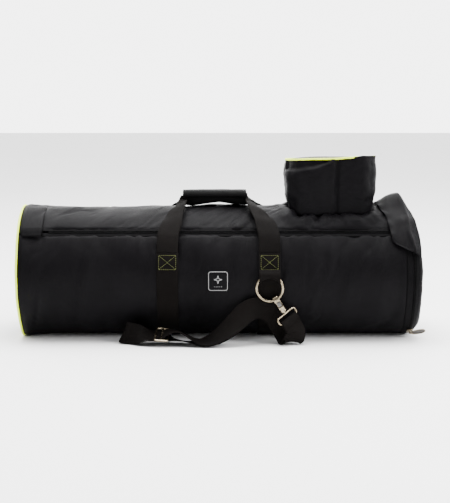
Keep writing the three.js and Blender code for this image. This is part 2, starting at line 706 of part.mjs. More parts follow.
// A wire loop that turns on the hook's neck, and the end of the strap folded round its far bar.
function strapLoop(name, frame) {
  const inside = STRAP_WIDTH / 2 + 1.4 + LOOP_WIRE;
  const centre = along(frame, LOOP_NEAR + LOOP_DEPTH / 2);
  const corners = roundRect(LOOP_DEPTH / 2, inside, 4, 4).map(([a, c]) =>
    centre.clone().addScaledVector(frame.shank, a).addScaledVector(frame.across, c),
  );
  piece(`strap_loop_${name}`, wire(corners, LOOP_WIRE, frame.gate, true), nickel);
  const inner = LOOP_WIRE + GAP;
  const outer = inner + WEBBING;
  const bend = (r, from, to) => range(from, to, 8).map((a) => [-r * Math.cos(rad(a)), r * Math.sin(rad(a))]);
  const leg = FOLD_END - LOOP_NEAR - LOOP_DEPTH;
  const outside = [[leg, -outer], ...bend(outer, -90, 90), [leg, outer]];
  const outline = [...outside, [leg, inner], ...bend(inner, 90, -90), [leg, -inner]];
  const bar = along(frame, LOOP_NEAR + LOOP_DEPTH);
  piece(
    `strap_fold_${name}`,
    plate(outline, bar, frame.shank, frame.gate, -STRAP_WIDTH / 2, STRAP_WIDTH / 2),
    webbing,
  );
}

// The shoulder strap from the front hook to the rear one, in the order it lies.
function strapKeys(front, rear) {
  // the webbing lies double between the front hook and the adjuster
  const key = (p, across) => {
    const double = p.y < -100 && p.x > DOUBLE_END;
    return { p, across: vec(...across), width: STRAP_WIDTH, thickness: double ? 2 * WEBBING + GAP : WEBBING };
  };
  const at = (x, y, z, ...across) => key(vec(x, y, z), across);
  const hang = (frame, distance) => key(along(frame, distance), frame.across.toArray());
  const flat = WEBBING / 2;
  const facing = vec(-1, -1, -1).multiply(front.across).toArray();
  return [
    key(along(front, FOLD_END + 6), facing),
    at(141, -132, 25.4, 0.72, 0.54, 0.46),
    at(139, -135, 17, 0.86, 0.34, 0.3),
    at(134.5, -135.8, 9.5, 0.98, 0.14, 0.1),
    at(129, -129.5, 4.5, 1, 0, 0.02),
    at(125, -123, 8.5, 0.98, 0, 0.18),
    at(120, -119.5, 19, 0.9, 0, 0.43),
    at(110.5, -119.5, 36, 0.75, 0, 0.66),
    at(98, -120.6, 54.5, 0.55, 0, 0.83),
    at(81, -126, 67, 0.25, 0.05, 0.96),
    at(63, -129.5, 68.5, 0, 0.2, 0.98),
    at(46, -133, 61, -0.3, 0.35, 0.88),
    at(30, -136, 46, -0.42, 0.5, 0.74),
    at(13, -139, 30, -0.45, 0.7, 0.56),
    at(-8, -141, 16, -0.35, 0.85, 0.38),
    at(-34, -138, 7, -0.15, 0.96, 0.2),
    at(-62, -134, 8, -0.05, 0.98, 0.05),
    at(ADJUSTER_X + 22, -132, 13.5, 0, 0.96, 0.26),
    at(ADJUSTER_X, -131, 16, 0, 0.95, 0.3),
    at(ADJUSTER_X - 25, -130, 17, 0, 0.94, 0.33),
    at(-158, -125.5, 19, 0.1, 0.45, 0.88),
    at(-174, -124, 20.4, 0.35, 0, 0.94),
    at(-181, -117, 20.4, 0.45, 0, 0.89),
    at(-178, -109, 20, 0.45, -0.05, 0.89),
    at(-165, -102, 14, 0.6, -0.2, 0.75),
    at(-153, -84, 4.6, 0.97, 0, 0.2),
    at(STRAP_UNDER_X, -56, flat + 0.1, 1, 0, 0),
    at(STRAP_UNDER_X, -30, flat, 1, 0, 0),
    at(STRAP_UNDER_X, 0, flat, 1, 0, 0),
    at(STRAP_UNDER_X, 30, flat, 1, 0, 0),
    at(STRAP_UNDER_X, 60, flat + 0.1, 1, 0, 0),
    at(-149, 100, 1.6, 1, 0, 0),
    at(-146, 126, 6, 0.99, 0, -0.1),
    hang(rear, FOLD_END + 10),
    hang(rear, FOLD_END + 4),
  ];
}

// A flat wire frame with a middle bar, through which the strap turns back on itself.
function adjuster({ p, across, up, thickness }) {
  const along = across.clone().cross(up);
  const centre = p.clone().addScaledVector(up, -thickness / 2 - ADJUSTER_WIRE - 4 * GAP);
  const at = ([a, c]) => centre.clone().addScaledVector(along, a).addScaledVector(across, c);
  const half = STRAP_WIDTH / 2 + 3;
  const frame = wire(roundRect(12, half, 4, 4).map(at), ADJUSTER_WIRE, up, true);
  const bar = wire([[0, -half], [0, 0], [0, half]].map(at), ADJUSTER_WIRE - 0.2, up, false);
  piece("adjuster_frame", join(frame, bar), nickel);
}

function hardware() {
  const front = hookFrame(LEG_RIGHT, -1, -60, 33);
  const rear = hookFrame(LEG_LEFT, 1, -120, -25);
  for (const [name, x, side, frame] of [["front", LEG_RIGHT, -1, front], ["rear", LEG_LEFT, 1, rear]]) {
    piece(`ring_keeper_${name}`, ringKeeper(x, side), webbing);
    const centre = vec(x, side * RING_Y, RING_Z);
    piece(`ring_${name}`, torus(centre, RING_RADIUS, RING_WIRE, vec(1, 0, 0), vec(0, 0, 1), 28, 8), nickel);
    snapHook(name, frame);
    strapLoop(name, swungLoop(frame));
  }
  const strap = grounded(smoothed(strapKeys(swungLoop(front), swungLoop(rear)), 132));
  piece("shoulder_strap", ribbon(strap), webbing);
  adjuster(strap.find((s) => s.p.x < ADJUSTER_X));
}

bodyWalls();
leftEnd();
zips();
lid();
pod();
stormFlap();
girthStraps();
handles();
hardware();

export default carryCase;
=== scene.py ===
"""The looks of a padded telescope carry case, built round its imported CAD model.

Lengths are in millimetres in the part's frame until a mesh is made: X along the case, -Y its front, +Z up.
Angles run round the case's axis in degrees, from +Y towards +Z, so the front is at 180.
"""

import math

import bmesh
import bpy
import numpy as np
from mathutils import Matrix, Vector, noise


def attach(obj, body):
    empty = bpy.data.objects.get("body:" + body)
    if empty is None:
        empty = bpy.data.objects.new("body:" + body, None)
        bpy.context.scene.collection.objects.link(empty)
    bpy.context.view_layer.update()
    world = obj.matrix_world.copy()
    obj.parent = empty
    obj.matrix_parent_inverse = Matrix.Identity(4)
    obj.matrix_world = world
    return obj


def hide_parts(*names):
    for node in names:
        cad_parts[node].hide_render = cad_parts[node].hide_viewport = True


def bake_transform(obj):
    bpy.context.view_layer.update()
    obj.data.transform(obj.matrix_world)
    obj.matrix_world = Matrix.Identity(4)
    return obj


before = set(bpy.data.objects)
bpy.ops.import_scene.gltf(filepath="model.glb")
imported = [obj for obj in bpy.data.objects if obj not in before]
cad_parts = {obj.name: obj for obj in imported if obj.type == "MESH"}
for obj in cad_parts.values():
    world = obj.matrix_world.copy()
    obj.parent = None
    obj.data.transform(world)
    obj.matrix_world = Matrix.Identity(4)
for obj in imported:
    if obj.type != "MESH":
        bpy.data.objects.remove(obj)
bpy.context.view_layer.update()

# --- Dimensions of the case ---
RADIUS = 124.0
AXIS = 122.0
END_X = 378.0
LEFT_FACE = -377.6
COLLAR_X = -334.0
SHELL_END = 345.0
WALL = 17.0
REAR_SEAM = 40.0
SEAM_GAP = 0.8
BODY_REAR = 360 + REAR_SEAM - SEAM_GAP
FRONT_ZIP = 136.8
BODY_FRONT = FRONT_ZIP + 2.8
LID_FRONT = FRONT_ZIP - 2.6
ZIP_SPLIT = 360.0
SLIDER_ANGLE = 240.0
ZIP_PITCH = 2.4

# --- Dimensions of the pod ---
POD_X = 209.5
POD_TOP = 336.0
POD_HALF_X = 79.0
POD_HALF_Y = 56.0
POD_SEAM_X = 218.0

# --- Dimensions of the webbing, handles and hardware ---
WEBBING = 1.8
STRAP_WIDTH = 40.0
LEG_LEFT = -98.8
LEG_RIGHT = 90.6
STRAP_UNDER_X = -150.0
BOX_TOP = 158.6
GRIP_X = -9.5
GRIP_HALF = 60.7
RING_RADIUS = 24.2
RING_WIRE = 2.4
RING_Y = 131.6
RING_Z = 106.5
LOOP_NEAR = 31.1
LOOP_DEPTH = 12.0
LOOP_WIRE = 1.6
LOOP_TURN = -35.0
FOLD_END = LOOP_NEAR + LOOP_DEPTH + 12


# --- Numbers, lines and noise ---
def rad(a):
    return np.radians(a)


def ramp(value, start, width):
    """0 up to start, 1 from start + width, and straight between."""
    return np.clip((value - start) / width, 0, 1)


def bell(value, centre, width):
    return np.exp(-(((value - centre) / width) ** 2))


def unit(v):
    return v / np.maximum(np.linalg.norm(v, axis=-1, keepdims=True), 1e-9)


def lengths(points):
    """Distance along a line of points."""
    steps = np.linalg.norm(np.diff(points, axis=0), axis=1)
    return np.concatenate([[0], np.cumsum(steps)])


def at_distance(line, far, distance):
    """The row of a line, whose distances are far, at some distance along it."""
    return np.array([np.interp(distance, far, line[:, k]) for k in range(3)])


def around(x, angle, radius):
    """Points round the case's axis."""
    angle = rad(np.asarray(angle, float))
    x, angle, radius = np.broadcast_arrays(x, angle, radius)
    return np.stack([x, radius * np.cos(angle), AXIS + radius * np.sin(angle)], axis=-1)


def outward(angle):
    """Directions away from the case's axis."""
    return around(np.zeros_like(angle), angle, 1.0) - np.array([0, 0, AXIS])


def perlin(x, y, scale_x, scale_y, seed, octaves=2):
    """Smooth noise in about -1..1 over two arrays, in millimetres."""
    x, y = np.broadcast_arrays(np.asarray(x, float), np.asarray(y, float))
    flat = [
        noise.fractal(Vector((a / scale_x, b / scale_y, seed)), 0.9, 2.0, octaves)
        for a, b in zip(x.ravel(), y.ravel())
    ]
    return np.array(flat).reshape(x.shape)


def smooth_path(keys, steps):
    """Catmull-Rom through key rows of numbers, evenly by key."""
    keys = np.asarray(keys, float)
    padded = np.vstack([2 * keys[0] - keys[1], keys, 2 * keys[-1] - keys[-2]])
    out = []
    for t in np.linspace(0, len(keys) - 1, steps):
        i = min(int(t), len(keys) - 2)
        f = t - i
        a, b, c, d = padded[i : i + 4]
        bend = (2 * a - 5 * b + 4 * c - d) * f**2 + (3 * b - a - 3 * c + d) * f**3
        out.append(0.5 * (2 * b + (c - a) * f + bend))
    return np.array(out)


def frames(points, across):
    """Directions along, across and up from a band at each of its points."""
    along = unit(np.gradient(points, axis=0))
    across = unit(across - along * np.sum(across * along, axis=1, keepdims=True))
    return along, across, np.cross(along, across)


def rounded_rectangle(half_x, half_y, corner, count=160):
    """Points round a rounded rectangle, evenly spaced, with their outward directions."""
    fine = []
    for sx, sy, start in ((1, 1, 0), (-1, 1, 90), (-1, -1, 180), (1, -1, 270)):
        a = rad(np.linspace(start, start + 90, 24))
        x = sx * (half_x - corner) + corner * np.cos(a)
        y = sy * (half_y - corner) + corner * np.sin(a)
        fine.append(np.stack([x, y], 1))
    fine = np.concatenate(fine)
    fine = np.vstack([fine, fine[:1]])
    far = lengths(fine)
    at = np.linspace(0, far[-1], count, endpoint=False)
    ring = np.stack([np.interp(at, far, fine[:, k]) for k in range(2)], axis=1)
    tangent = unit(np.roll(ring, -1, axis=0) - np.roll(ring, 1, axis=0))
    return ring, np.stack([tangent[:, 1], -tangent[:, 0]], axis=1)


# --- Materials ---
def new_material(name):
    """A material and its node tree."""
    material = bpy.data.materials.new(name)
    material.use_nodes = True
    return material, material.node_tree


def set_inputs(tree, node, inputs):
    """Sets some inputs of a node to values, and links those that are given another node's output."""
    for name, value in inputs.items():
        if isinstance(value, bpy.types.NodeSocket):
            tree.links.new(value, node.inputs[name])
        else:
            node.inputs[name].default_value = value


def add_node(tree, kind, output, inputs=()):
    """A new node, as one of its outputs."""
    node = tree.nodes.new(kind)
    set_inputs(tree, node, dict(inputs))
    return node.outputs[output]


def shade(tree, inputs):
    set_inputs(tree, tree.nodes["Principled BSDF"], inputs)


def object_place(tree):
    return add_node(tree, "ShaderNodeTexCoord", "Object")


def noise_value(tree, place, scale, detail=3.0, roughness=0.55):
    inputs = {"Vector": place, "Scale": scale, "Detail": detail, "Roughness": roughness}
    return add_node(tree, "ShaderNodeTexNoise", "Fac", inputs)


def between_colours(tree, source, dark, light):
    """A colour ramp driven by a texture's value."""
    colour = add_node(tree, "ShaderNodeValToRGB", "Color", {"Fac": source})
    for element, position, shown in zip(colour.node.color_ramp.elements, (0.3, 0.7), (dark, light)):
        element.position = position
        element.color = (*shown, 1)
    return colour


def between_values(tree, source, low, high):
    return add_node(tree, "ShaderNodeMapRange", "Result", {"Value": source, "To Min": low, "To Max": high})


def bump(tree, height, strength, distance, under=()):
    """A bumped normal; under may hold another one to build on."""
    inputs = {"Height": height, "Strength": strength, "Distance": distance, **dict(under)}
    return add_node(tree, "ShaderNodeBump", "Normal", inputs)


def thread_bands(tree, uv, direction, pitch):
    """Bands across one UV direction; UVs are in millimetres."""
    bands = add_node(tree, "ShaderNodeTexWave", "Fac", {"Vector": uv, "Scale": 0.314 / pitch})
    bands.node.bands_direction = direction
    return bands


def woven(name, dark, light, roughness, thread, depth, ribs="XY", specular=0.35, painted_glow=0.0):
    """Cloth whose threads follow the piece's UVs, with blotchy wear in its colour and shine, and a painted
    glow in its lighter colour where a glow strength is given.
    """
    material, tree = new_material(name)
    place = object_place(tree)
    uv = place.node.outputs["UV"]
    threads = thread_bands(tree, uv, "X", thread)
    if "Y" in ribs:
        crossing = {0: threads, 1: thread_bands(tree, uv, "Y", thread)}
        threads = add_node(tree, "ShaderNodeMath", "Value", crossing)
        threads.node.operation = "MULTIPLY"
    fine = bump(tree, threads, 0.6, depth)
    crumple = noise_value(tree, place, 60.0, 5.0, 0.6)
    wear = noise_value(tree, place, 23.0)
    shade(tree, {
        "Base Color": between_colours(tree, noise_value(tree, place, 9.0), dark, light),
        "Roughness": between_values(tree, wear, roughness - 0.08, roughness + 0.08),
        "Specular IOR Level": specular,
        # emission in the cloth's lighter colour: a painted glow, off unless a strength is given
        "Emission Color": (*light, 1),
        "Emission Strength": painted_glow,
        "Normal": bump(tree, crumple, 0.25, 0.0012, {"Normal": fine}),
    })
    return material


def metal(name, dark, light, roughness):
    """Plated metal with fine scratches."""
    material, tree = new_material(name)
    place = object_place(tree)
    blotch = noise_value(tree, place, 120.0, 4.0)
    shade(tree, {
        "Base Color": between_colours(tree, blotch, dark, light),
        "Roughness": between_values(tree, blotch, roughness - 0.06, roughness + 0.1),
        "Metallic": 1.0,
        "Normal": bump(tree, noise_value(tree, place, 900.0, 2.0), 0.15, 0.0001),
    })
    return material


def moulded(name, dark, light, roughness):
    """Dull moulded plastic."""
    material, tree = new_material(name)
    place = object_place(tree)
    blotch = noise_value(tree, place, 60.0)
    shade(tree, {
        "Base Color": between_colours(tree, blotch, dark, light),
        "Roughness": between_values(tree, blotch, roughness - 0.1, roughness + 0.1),
        "Specular IOR Level": 0.04,
        "Normal": bump(tree, noise_value(tree, place, 1500.0), 0.2, 0.0002),
    })
    return material


NYLON = woven(
    "shell_nylon", (0.0019, 0.0017, 0.0021), (0.0034, 0.0031, 0.0037), 0.46, 0.9, 0.00025, specular=0.035
)
LINING = woven(
    "lining_cloth", (0.0060, 0.0060, 0.0068), (0.0100, 0.0100, 0.0110), 0.7, 0.7, 0.0002, specular=0.03
)
GRIP_CLOTH = woven(
    "grip_cloth", (0.0011, 0.0010, 0.0011), (0.0020, 0.0019, 0.0020), 0.55, 0.9, 0.00025, specular=0.018
)
WEB = woven(
    "strap_webbing", (0.0022, 0.0018, 0.0017), (0.0040, 0.0033, 0.0030), 0.62, 1.3, 0.0005, "X", 0.025
)
# the piping gets a painted glow: it gives off light of its own, so it reads brighter than the lamps make it
PIPING = woven("neon_piping", (0.58, 0.72, 0.02), (0.68, 0.84, 0.05), 0.5, 0.8, 0.0002, painted_glow=0.35)
ZIP_TAPE = woven(
    "zip_tape", (0.0018, 0.0017, 0.0019), (0.0032, 0.0030, 0.0034), 0.6, 0.8, 0.0003, specular=0.025
)
THREAD = woven("contrast_thread", (0.07, 0.08, 0.014), (0.12, 0.135, 0.035), 0.6, 0.5, 0.0001)
GREY_THREAD = woven("label_thread", (0.22, 0.22, 0.22), (0.30, 0.30, 0.30), 0.55, 0.5, 0.0001)
LABEL = woven(
    "label_cloth", (0.0022, 0.0022, 0.0025), (0.0040, 0.0040, 0.0044), 0.6, 0.6, 0.0002, specular=0.04
)
TEETH = moulded("zip_coil", (0.0016, 0.0016, 0.0017), (0.0030, 0.0030, 0.0032), 0.5)
NICKEL = metal("nickel", (0.13, 0.105, 0.070), (0.30, 0.255, 0.180), 0.24)
STEEL = metal("dark_steel", (0.06, 0.057, 0.055), (0.10, 0.096, 0.092), 0.35)


# --- Meshes ---
def piece(name, points, faces, uv, material, body, replaced=()):
    """One mesh that rides on a body and stands for some CAD nodes, with its faces turned outwards."""
    data = bpy.data.meshes.new(name)
    data.from_pydata((np.asarray(points, float) * 0.001).tolist(), [], faces)
    data.materials.append(material)
    data.shade_smooth()
    layer = data.uv_layers.new(name="UVMap")
    corners = np.empty(len(data.loops), int)
    data.loops.foreach_get("vertex_index", corners)
    layer.data.foreach_set("uv", np.asarray(uv, np.float32)[corners].ravel())
    obj = bpy.data.objects.new(name, data)
    bpy.context.scene.collection.objects.link(obj)
    if body:
        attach(obj, body)
    if replaced:
        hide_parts(*replaced)
    turn_out(data)
    return obj


def turn_out(data):
    """Turns the faces of a closed mesh outwards, when the volume they enclose comes out negative."""
    co = np.empty(len(data.vertices) * 3)
    data.vertices.foreach_get("co", co)
    co = co.reshape(-1, 3)
    data.calc_loop_triangles()
    tri = np.empty(len(data.loop_triangles) * 3, int)
    data.loop_triangles.foreach_get("vertices", tri)
    a, b, c = (co[tri.reshape(-1, 3)[:, k]] for k in range(3))
    if np.einsum("ij,ij->i", a, np.cross(b, c)).sum() < 0:
        data.flip_normals()


def ring_faces(rows, count, closed):
    """Faces of a body through rows of closed outlines with the same number of points."""
    faces = []
    for i in range(rows if closed else rows - 1):
        a, b = i * count, ((i + 1) % rows) * count
        for k in range(count):
            n = (k + 1) % count
            faces.append((a + k, a + n, b + n, b + k))
    if not closed:
        faces.append(tuple(range(count - 1, -1, -1)))
        faces.append(tuple(range((rows - 1) * count, rows * count)))
    return faces


def loft(name, sections, material, body, replaced=(), closed=False):
    """A closed body through outlines, with UVs along it and round it."""
    sections = np.asarray(sections, float)
    rows, count = sections.shape[:2]
    along = lengths(sections.mean(axis=1))
    if closed or along[-1] < 1:
        along = lengths(sections[:, 0])
    round_it = lengths(sections[rows // 2])
    uv = np.stack(np.meshgrid(along, round_it, indexing="ij"), axis=-1).reshape(-1, 2)
    faces = ring_faces(rows, count, closed)
    return piece(name, sections.reshape(-1, 3), faces, uv, material, body, replaced)


def cloth(name, grid, thickness, material, body, replaced=()):
    """A sheet of even thickness on a grid of points (rows, columns, 3)."""
    grid = np.asarray(grid, float)
    normal = unit(np.cross(np.gradient(grid, axis=0), np.gradient(grid, axis=1)))
    outer, inner = grid + normal * thickness / 2, grid - normal * thickness / 2
    return loft(name, np.concatenate([outer, inner[:, ::-1]], axis=1), material, body, replaced)


def ribbon(name, points, across, body, replaced=(), width=STRAP_WIDTH, thickness=WEBBING, lift=0.0):
    """Webbing: a flat band with rounded edges and a slight crown. Its size and lift may change along it."""
    points, across = np.asarray(points, float), np.asarray(across, float)
    _, across, up = frames(points, across)
    width = np.broadcast_to(width, len(points))[:, None, None]
    thickness = np.broadcast_to(thickness, len(points))[:, None, None]
    side = np.array([-1, -0.985, -0.93, -0.5, 0, 0.5, 0.93, 0.985, 1])
    half = np.array([0.0, 0.75, 1, 1.04, 1.06, 1.04, 1, 0.75, 0.0])
    profile = np.concatenate([np.stack([side, half], 1), np.stack([side, -half], 1)[-2:0:-1]])
    sections = (
        points[:, None]
        + across[:, None] * profile[None, :, :1] * width / 2
        + up[:, None] * profile[None, :, 1:] * thickness / 2
    )
    sections[..., 2] += np.broadcast_to(lift, len(points))[:, None]
    return loft(name, sections, WEB, body, replaced)


def tube(name, points, radius, material, body, replaced=(), closed=False, sides=12):
    """A round cord or wire along a line of points."""
    points = np.asarray(points, float)
    if closed:
        along = unit(np.roll(points, -1, axis=0) - np.roll(points, 1, axis=0))
    else:
        along = unit(np.gradient(points, axis=0))
    normal = np.zeros_like(points)
    reference = np.array([0.0, 0.0, 1.0]) if abs(along[0][2]) < 0.9 else np.array([1.0, 0.0, 0.0])
    for i, direction in enumerate(along):
        reference = unit(reference - direction * reference.dot(direction))
        normal[i] = reference
    binormal = np.cross(along, normal)
    angle = np.linspace(0, 2 * math.pi, sides, endpoint=False)[None, :, None]
    spokes = normal[:, None] * np.cos(angle) + binormal[:, None] * np.sin(angle)
    sections = points[:, None] + spokes * radius
    return loft(name, sections, material, body, replaced, closed)


def stitches(name, lines, pitch, thick, material, body):
    """Thread that dips in and out along lines of points: each stitch is a small bar with pointed ends."""
    verts, faces = [], []
    for line in np.asarray(lines, float):
        far = lengths(line)
        count = max(1, int(far[-1] / pitch))
        for k in range(count):
            a, b = (at_distance(line, far, far[-1] * (k + share) / count) for share in (0.14, 0.86))
            out = unit(np.array([0, a[1], a[2] - AXIS]))
            side = np.cross(unit(b - a), out)
            start = len(verts)
            middle = (a + b) / 2 + out * thick * 0.35
            ring = [side * thick / 2, out * thick / 2, -side * thick / 2, -out * thick / 2]
            verts.append(a - out * thick * 0.2)
            for centre in (a * 0.75 + b * 0.25, middle, a * 0.25 + b * 0.75):
                verts.extend(centre + r for r in ring)
            verts.append(b - out * thick * 0.2)
            for q in range(4):
                n = (q + 1) % 4
                faces.append((start, start + 1 + n, start + 1 + q))
                for low in (start + 1, start + 5):
                    faces.append((low + q, low + n, low + 4 + n, low + 4 + q))
                faces.append((start + 13, start + 9 + q, start + 9 + n))
    piece(name, verts, faces, [(v[0], v[2]) for v in verts], material, body)


# --- Padded walls of the body ---
def strap_dent(x):
    """How far straps under the case lift its skin."""
    lifts = [ramp(-np.abs(x - at), -STRAP_WIDTH / 2 - 6, 5) for at in (LEG_LEFT, LEG_RIGHT, STRAP_UNDER_X)]
    return 2.4 * np.clip(sum(lifts), 0, 1)


def skin_wrinkles(x, arc):
    """Soft folds that run down the skin, and short gathers next to the front zip."""
    folds = perlin(x + 0.12 * arc, arc, 30, 150, 3.1) * 2.6 + perlin(x - 0.35 * arc, arc, 80, 110, 8.4) * 2.2
    valleys = np.abs(perlin(x + 0.22 * arc, arc, 62, 210, 5.7, 3))
    creases = -2.8 * np.exp(-((valleys / 0.10) ** 2)) * np.clip(0.5 + perlin(x, arc, 120, 90, 1.9), 0, 1)
    near = np.exp(-np.abs(arc - rad(BODY_FRONT) * RADIUS) / 22)
    gathers = perlin(x, arc, 13, 60, 2.2) * 1.7 * near
    return folds + creases + gathers


def settle(points):
    """The upper part of the right end leans in and sags under the flap."""
    points = np.array(points, float)
    share = ramp(points[..., 0], 328, 48) ** 1.3
    high = ramp(points[..., 2], AXIS, 122)
    points[..., 0] -= 27 * share * high**2.6
    points[..., 2] -= 5 * share * high**4
    return points


def left_flare(x, angle):
    """The left end is fuller at the top and where its corner spreads on the ground."""
    near = ramp(-x, 318, 50) ** 1.4
    return near * (4.2 * bell(angle, 88, 44) + 7.0 * bell(angle, 249, 17))


def body_outside(x, angle):
    """The skin of the body, with its wrinkles, and pressed flat under the girth straps and on the ground."""
    end_round = 3.2 * ramp(-x, 367, 11) ** 1.6
    calm = np.clip((x + END_X) / 20, 0.15, 1) * np.clip((SHELL_END - x) / 12, 0.2, 1)
    under = ramp(angle, 225, 20) * ramp(-angle, -330, 20)
    wrinkles = skin_wrinkles(x, rad(angle) * RADIUS) * calm * (1 - 0.8 * under) * 0.9
    flat_strap = np.maximum(bell(x, LEG_LEFT, 26), bell(x, LEG_RIGHT, 26))
    radius = np.minimum(RADIUS - end_round - 0.6 + wrinkles, RADIUS + 1.8 - 2.6 * flat_strap**0.5)
    points = around(x, angle, radius + left_flare(x, angle))
    points[..., 2] = np.maximum(points[..., 2], 0.3 + strap_dent(x))
    return points


def wall_sections(outer, angle, edge, drawn_in, depth):
    """Outlines of a padded wall: its outside, drawn in beside its long edges, and its inside further in."""
    first, last = angle[0, 0], angle[0, -1]
    inset = np.interp(angle, [first, first + edge, last - edge, last], [drawn_in, 0, 0, drawn_in])[..., None]
    centre = outer * np.array([1.0, 0, 0]) + np.array([0, 0, AXIS])
    inward = unit(centre - outer)
    outer = outer + inward * inset
    inner = outer + inward * np.maximum(depth[..., None] - inset, 1.2)
    inner[..., 2] = np.maximum(inner[..., 2], 4)
    return settle(np.concatenate([outer, inner[:, ::-1]], axis=1))


def line_inside(obj, rows, count):
    """Shows lining on the inner half of a wall made from rows of outer and inner points."""
    obj.data.materials.append(LINING)
    index = np.zeros(len(obj.data.polygons), int)
    inner = np.arange(rows * 2 * count) % (2 * count) >= count
    index[: rows * 2 * count] = inner[: len(index)]
    obj.data.polygons.foreach_set("material_index", index)


def body_wall(name, xs, angles, replaced):
    """A padded wall of the body with rounded edges and a quilted inside."""
    x, angle = np.meshgrid(xs, angles, indexing="ij")
    quilt = 0.8 * np.sin(x / 60 * math.pi) * np.sin(rad(angle) * 6)
    sections = wall_sections(body_outside(x, angle), angle, 2, 2.2, WALL - 1 + quilt)
    wall = loft(name, sections, NYLON, "shell", replaced)
    line_inside(wall, len(xs) - 1, len(angles))


def build_body():
    """The body and the closed collar at its left end."""
    xs = np.concatenate([[LEFT_FACE, -376, -372], np.linspace(-367, 341, 180), [343, 344.4, SHELL_END]])
    angles = np.linspace(BODY_FRONT + 0.2, BODY_REAR, 150)
    body_wall("body_wall", xs, angles, ("outer_shell", "body_foam", "body_lining"))
    xs = np.linspace(LEFT_FACE, COLLAR_X - 0.6, 16)
    angles = np.linspace(REAR_SEAM + SEAM_GAP, BODY_FRONT - 0.2, 60)
    body_wall("left_collar_wall", xs, angles, ("left_collar", "left_collar_foam"))


def build_hinge():
    """The sewn hinge at the back: a binding over the seam, and a roll of cloth that fills it."""
    xs = np.linspace(COLLAR_X + 2, SHELL_END - 2, 120)
    x, angle = np.meshgrid(xs, np.linspace(REAR_SEAM - 3.4, REAR_SEAM - 0.6, 4), indexing="ij")
    ripple = 0.3 * perlin(x, angle, 16, 30, 6.2)
    grid = around(x, angle, RADIUS + 2.2 + ripple)
    cloth("rear_binding", grid, 1.0, WEB, "shell", ("rear_seam_binding",))
    xs = np.linspace(COLLAR_X + 1, SHELL_END - 1, 60)
    tube("rear_hinge_roll", around(xs, REAR_SEAM, RADIUS - 2.8), 4.6, LINING, "shell")


def end_wall(name, x_face, x_back, radius, bulge, rim, body, replaced):
    """An end wall: a padded disc that bulges out, with gathers round its rounded rim."""
    flat = np.linspace(0.5, radius - rim, 14)
    corner = radius - rim * (1 - np.sin(np.linspace(0.2, 1.4, 6)))
    turns = np.linspace(0, 360, 96, endpoint=False)
    reach, angle = np.meshgrid(np.concatenate([flat, corner]), turns, indexing="ij")
    side = 1 if x_face > 0 else -1
    fall = ramp(reach, radius - rim, rim)
    depth = rim * (1 - np.sqrt(np.clip(1 - fall**2, 0, 1)))
    dome = bulge * (1 - (reach / radius) ** 2)
    gathers = 1.0 * perlin(angle * 1.6, reach, 14, 60, 4.4 + side) * (reach / radius) ** 3
    soft = 1.6 * perlin(reach * np.cos(rad(angle)), reach * np.sin(rad(angle)), 60, 60, 1.3 + side)
    face = x_face + side * (dome + gathers + soft * (1 - fall) - depth)
    flare = left_flare(-END_X, angle) * (reach / radius) ** 3 if side < 0 else 0
    outer = around(face, angle, reach + flare)
    outer[..., 2] = np.maximum(outer[..., 2], 0.6)
    inner = around(x_back, angle, reach * 0.995 + flare)
    inner[..., 2] = np.maximum(inner[..., 2], 0.8)
    sections = np.concatenate([outer, inner[::-1]], axis=0).transpose(1, 0, 2)
    if side > 0:
        sections = settle(sections)
    wall = loft(name, sections, NYLON, body, replaced, closed=True)
    line_inside(wall, len(turns), len(reach))


def build_left_end():
    """The left end wall and the piping round it."""
    nodes = ("left_end_cap", "left_end_foam", "left_end_lining")
    end_wall("left_end_wall", -END_X, -END_X + WALL, 118.6, 2.0, 6, "shell", nodes)
    angle = np.linspace(0, 360, 160, endpoint=False)
    swing = 0.7 * perlin(np.cos(rad(angle)) * 100, np.sin(rad(angle)) * 100, 35, 35, 7.7)
    path = around(-END_X - 1.4 + swing, angle, 120.4 + swing * 0.6 + left_flare(-END_X, angle))
    path[:, 2] = np.maximum(path[:, 2], 2.4)
    tube("left_end_piping", path, 2.2, PIPING, "shell", ("left_piping",), closed=True)


# --- Zips ---
TOOTH_FOOT = [(-1, -1, 0), (1, -1, 0), (1, 1, 0), (-1, 1, 0)]
TOOTH_TOP = [(-0.6, -0.7, 1), (0.6, -0.7, 1), (0.6, 0.7, 1), (-0.6, 0.7, 1)]
TOOTH_FACES = [(0, 3, 2, 1), (4, 5, 6, 7), (0, 1, 5, 4), (1, 2, 6, 5), (2, 3, 7, 6), (3, 0, 4, 7)]


def zip_coil(name, path, out, side, body, replaced):
    """A row of small tapered teeth along a path."""
    far = lengths(path)
    count = int(far[-1] / ZIP_PITCH)
    verts, faces = [], []
    for k in range(count):
        distance = far[-1] * (k + 0.5) / count
        at = at_distance(path, far, distance)
        up = unit(at_distance(out, far, distance))
        over = unit(at_distance(side, far, distance))
        along = np.cross(up, over)
        for a, s, u in TOOTH_FOOT + TOOTH_TOP:
            verts.append(at + along * a * ZIP_PITCH * 0.36 + over * s * 1.1 + up * u * 1.3)
        faces.extend(tuple(8 * k + i for i in face) for face in TOOTH_FACES)
    uv = [(v[0], v[2]) for v in verts]
    piece(name, verts, faces, uv, TEETH, body, replaced)


def front_zip(name, first, last, teeth_angle, body):
    """One side of the zip along the front."""
    xs = np.linspace(COLLAR_X, SHELL_END, 170)
    x, angle = np.meshgrid(xs, np.linspace(first, last, 6), indexing="ij")
    ripple = 0.5 * perlin(x, angle, 22, 40, 9.1)
    tape = around(x, angle, RADIUS - 2.2 + ripple)
    cloth(f"front_zip_{name}_tape", tape, 1.0, ZIP_TAPE, body, (f"front_zip_tape_{name}",))
    at = np.full_like(xs, teeth_angle)
    path = around(xs, at, RADIUS - 1.6 + 0.5 * perlin(xs, at, 22, 40, 9.1))[3:-2]
    out = outward(at)[3:-2]
    side = np.cross(out, [1.0, 0, 0])
    zip_coil(f"front_zip_{name}_coil", path, out, side, body, (f"front_zip_teeth_{name}",))


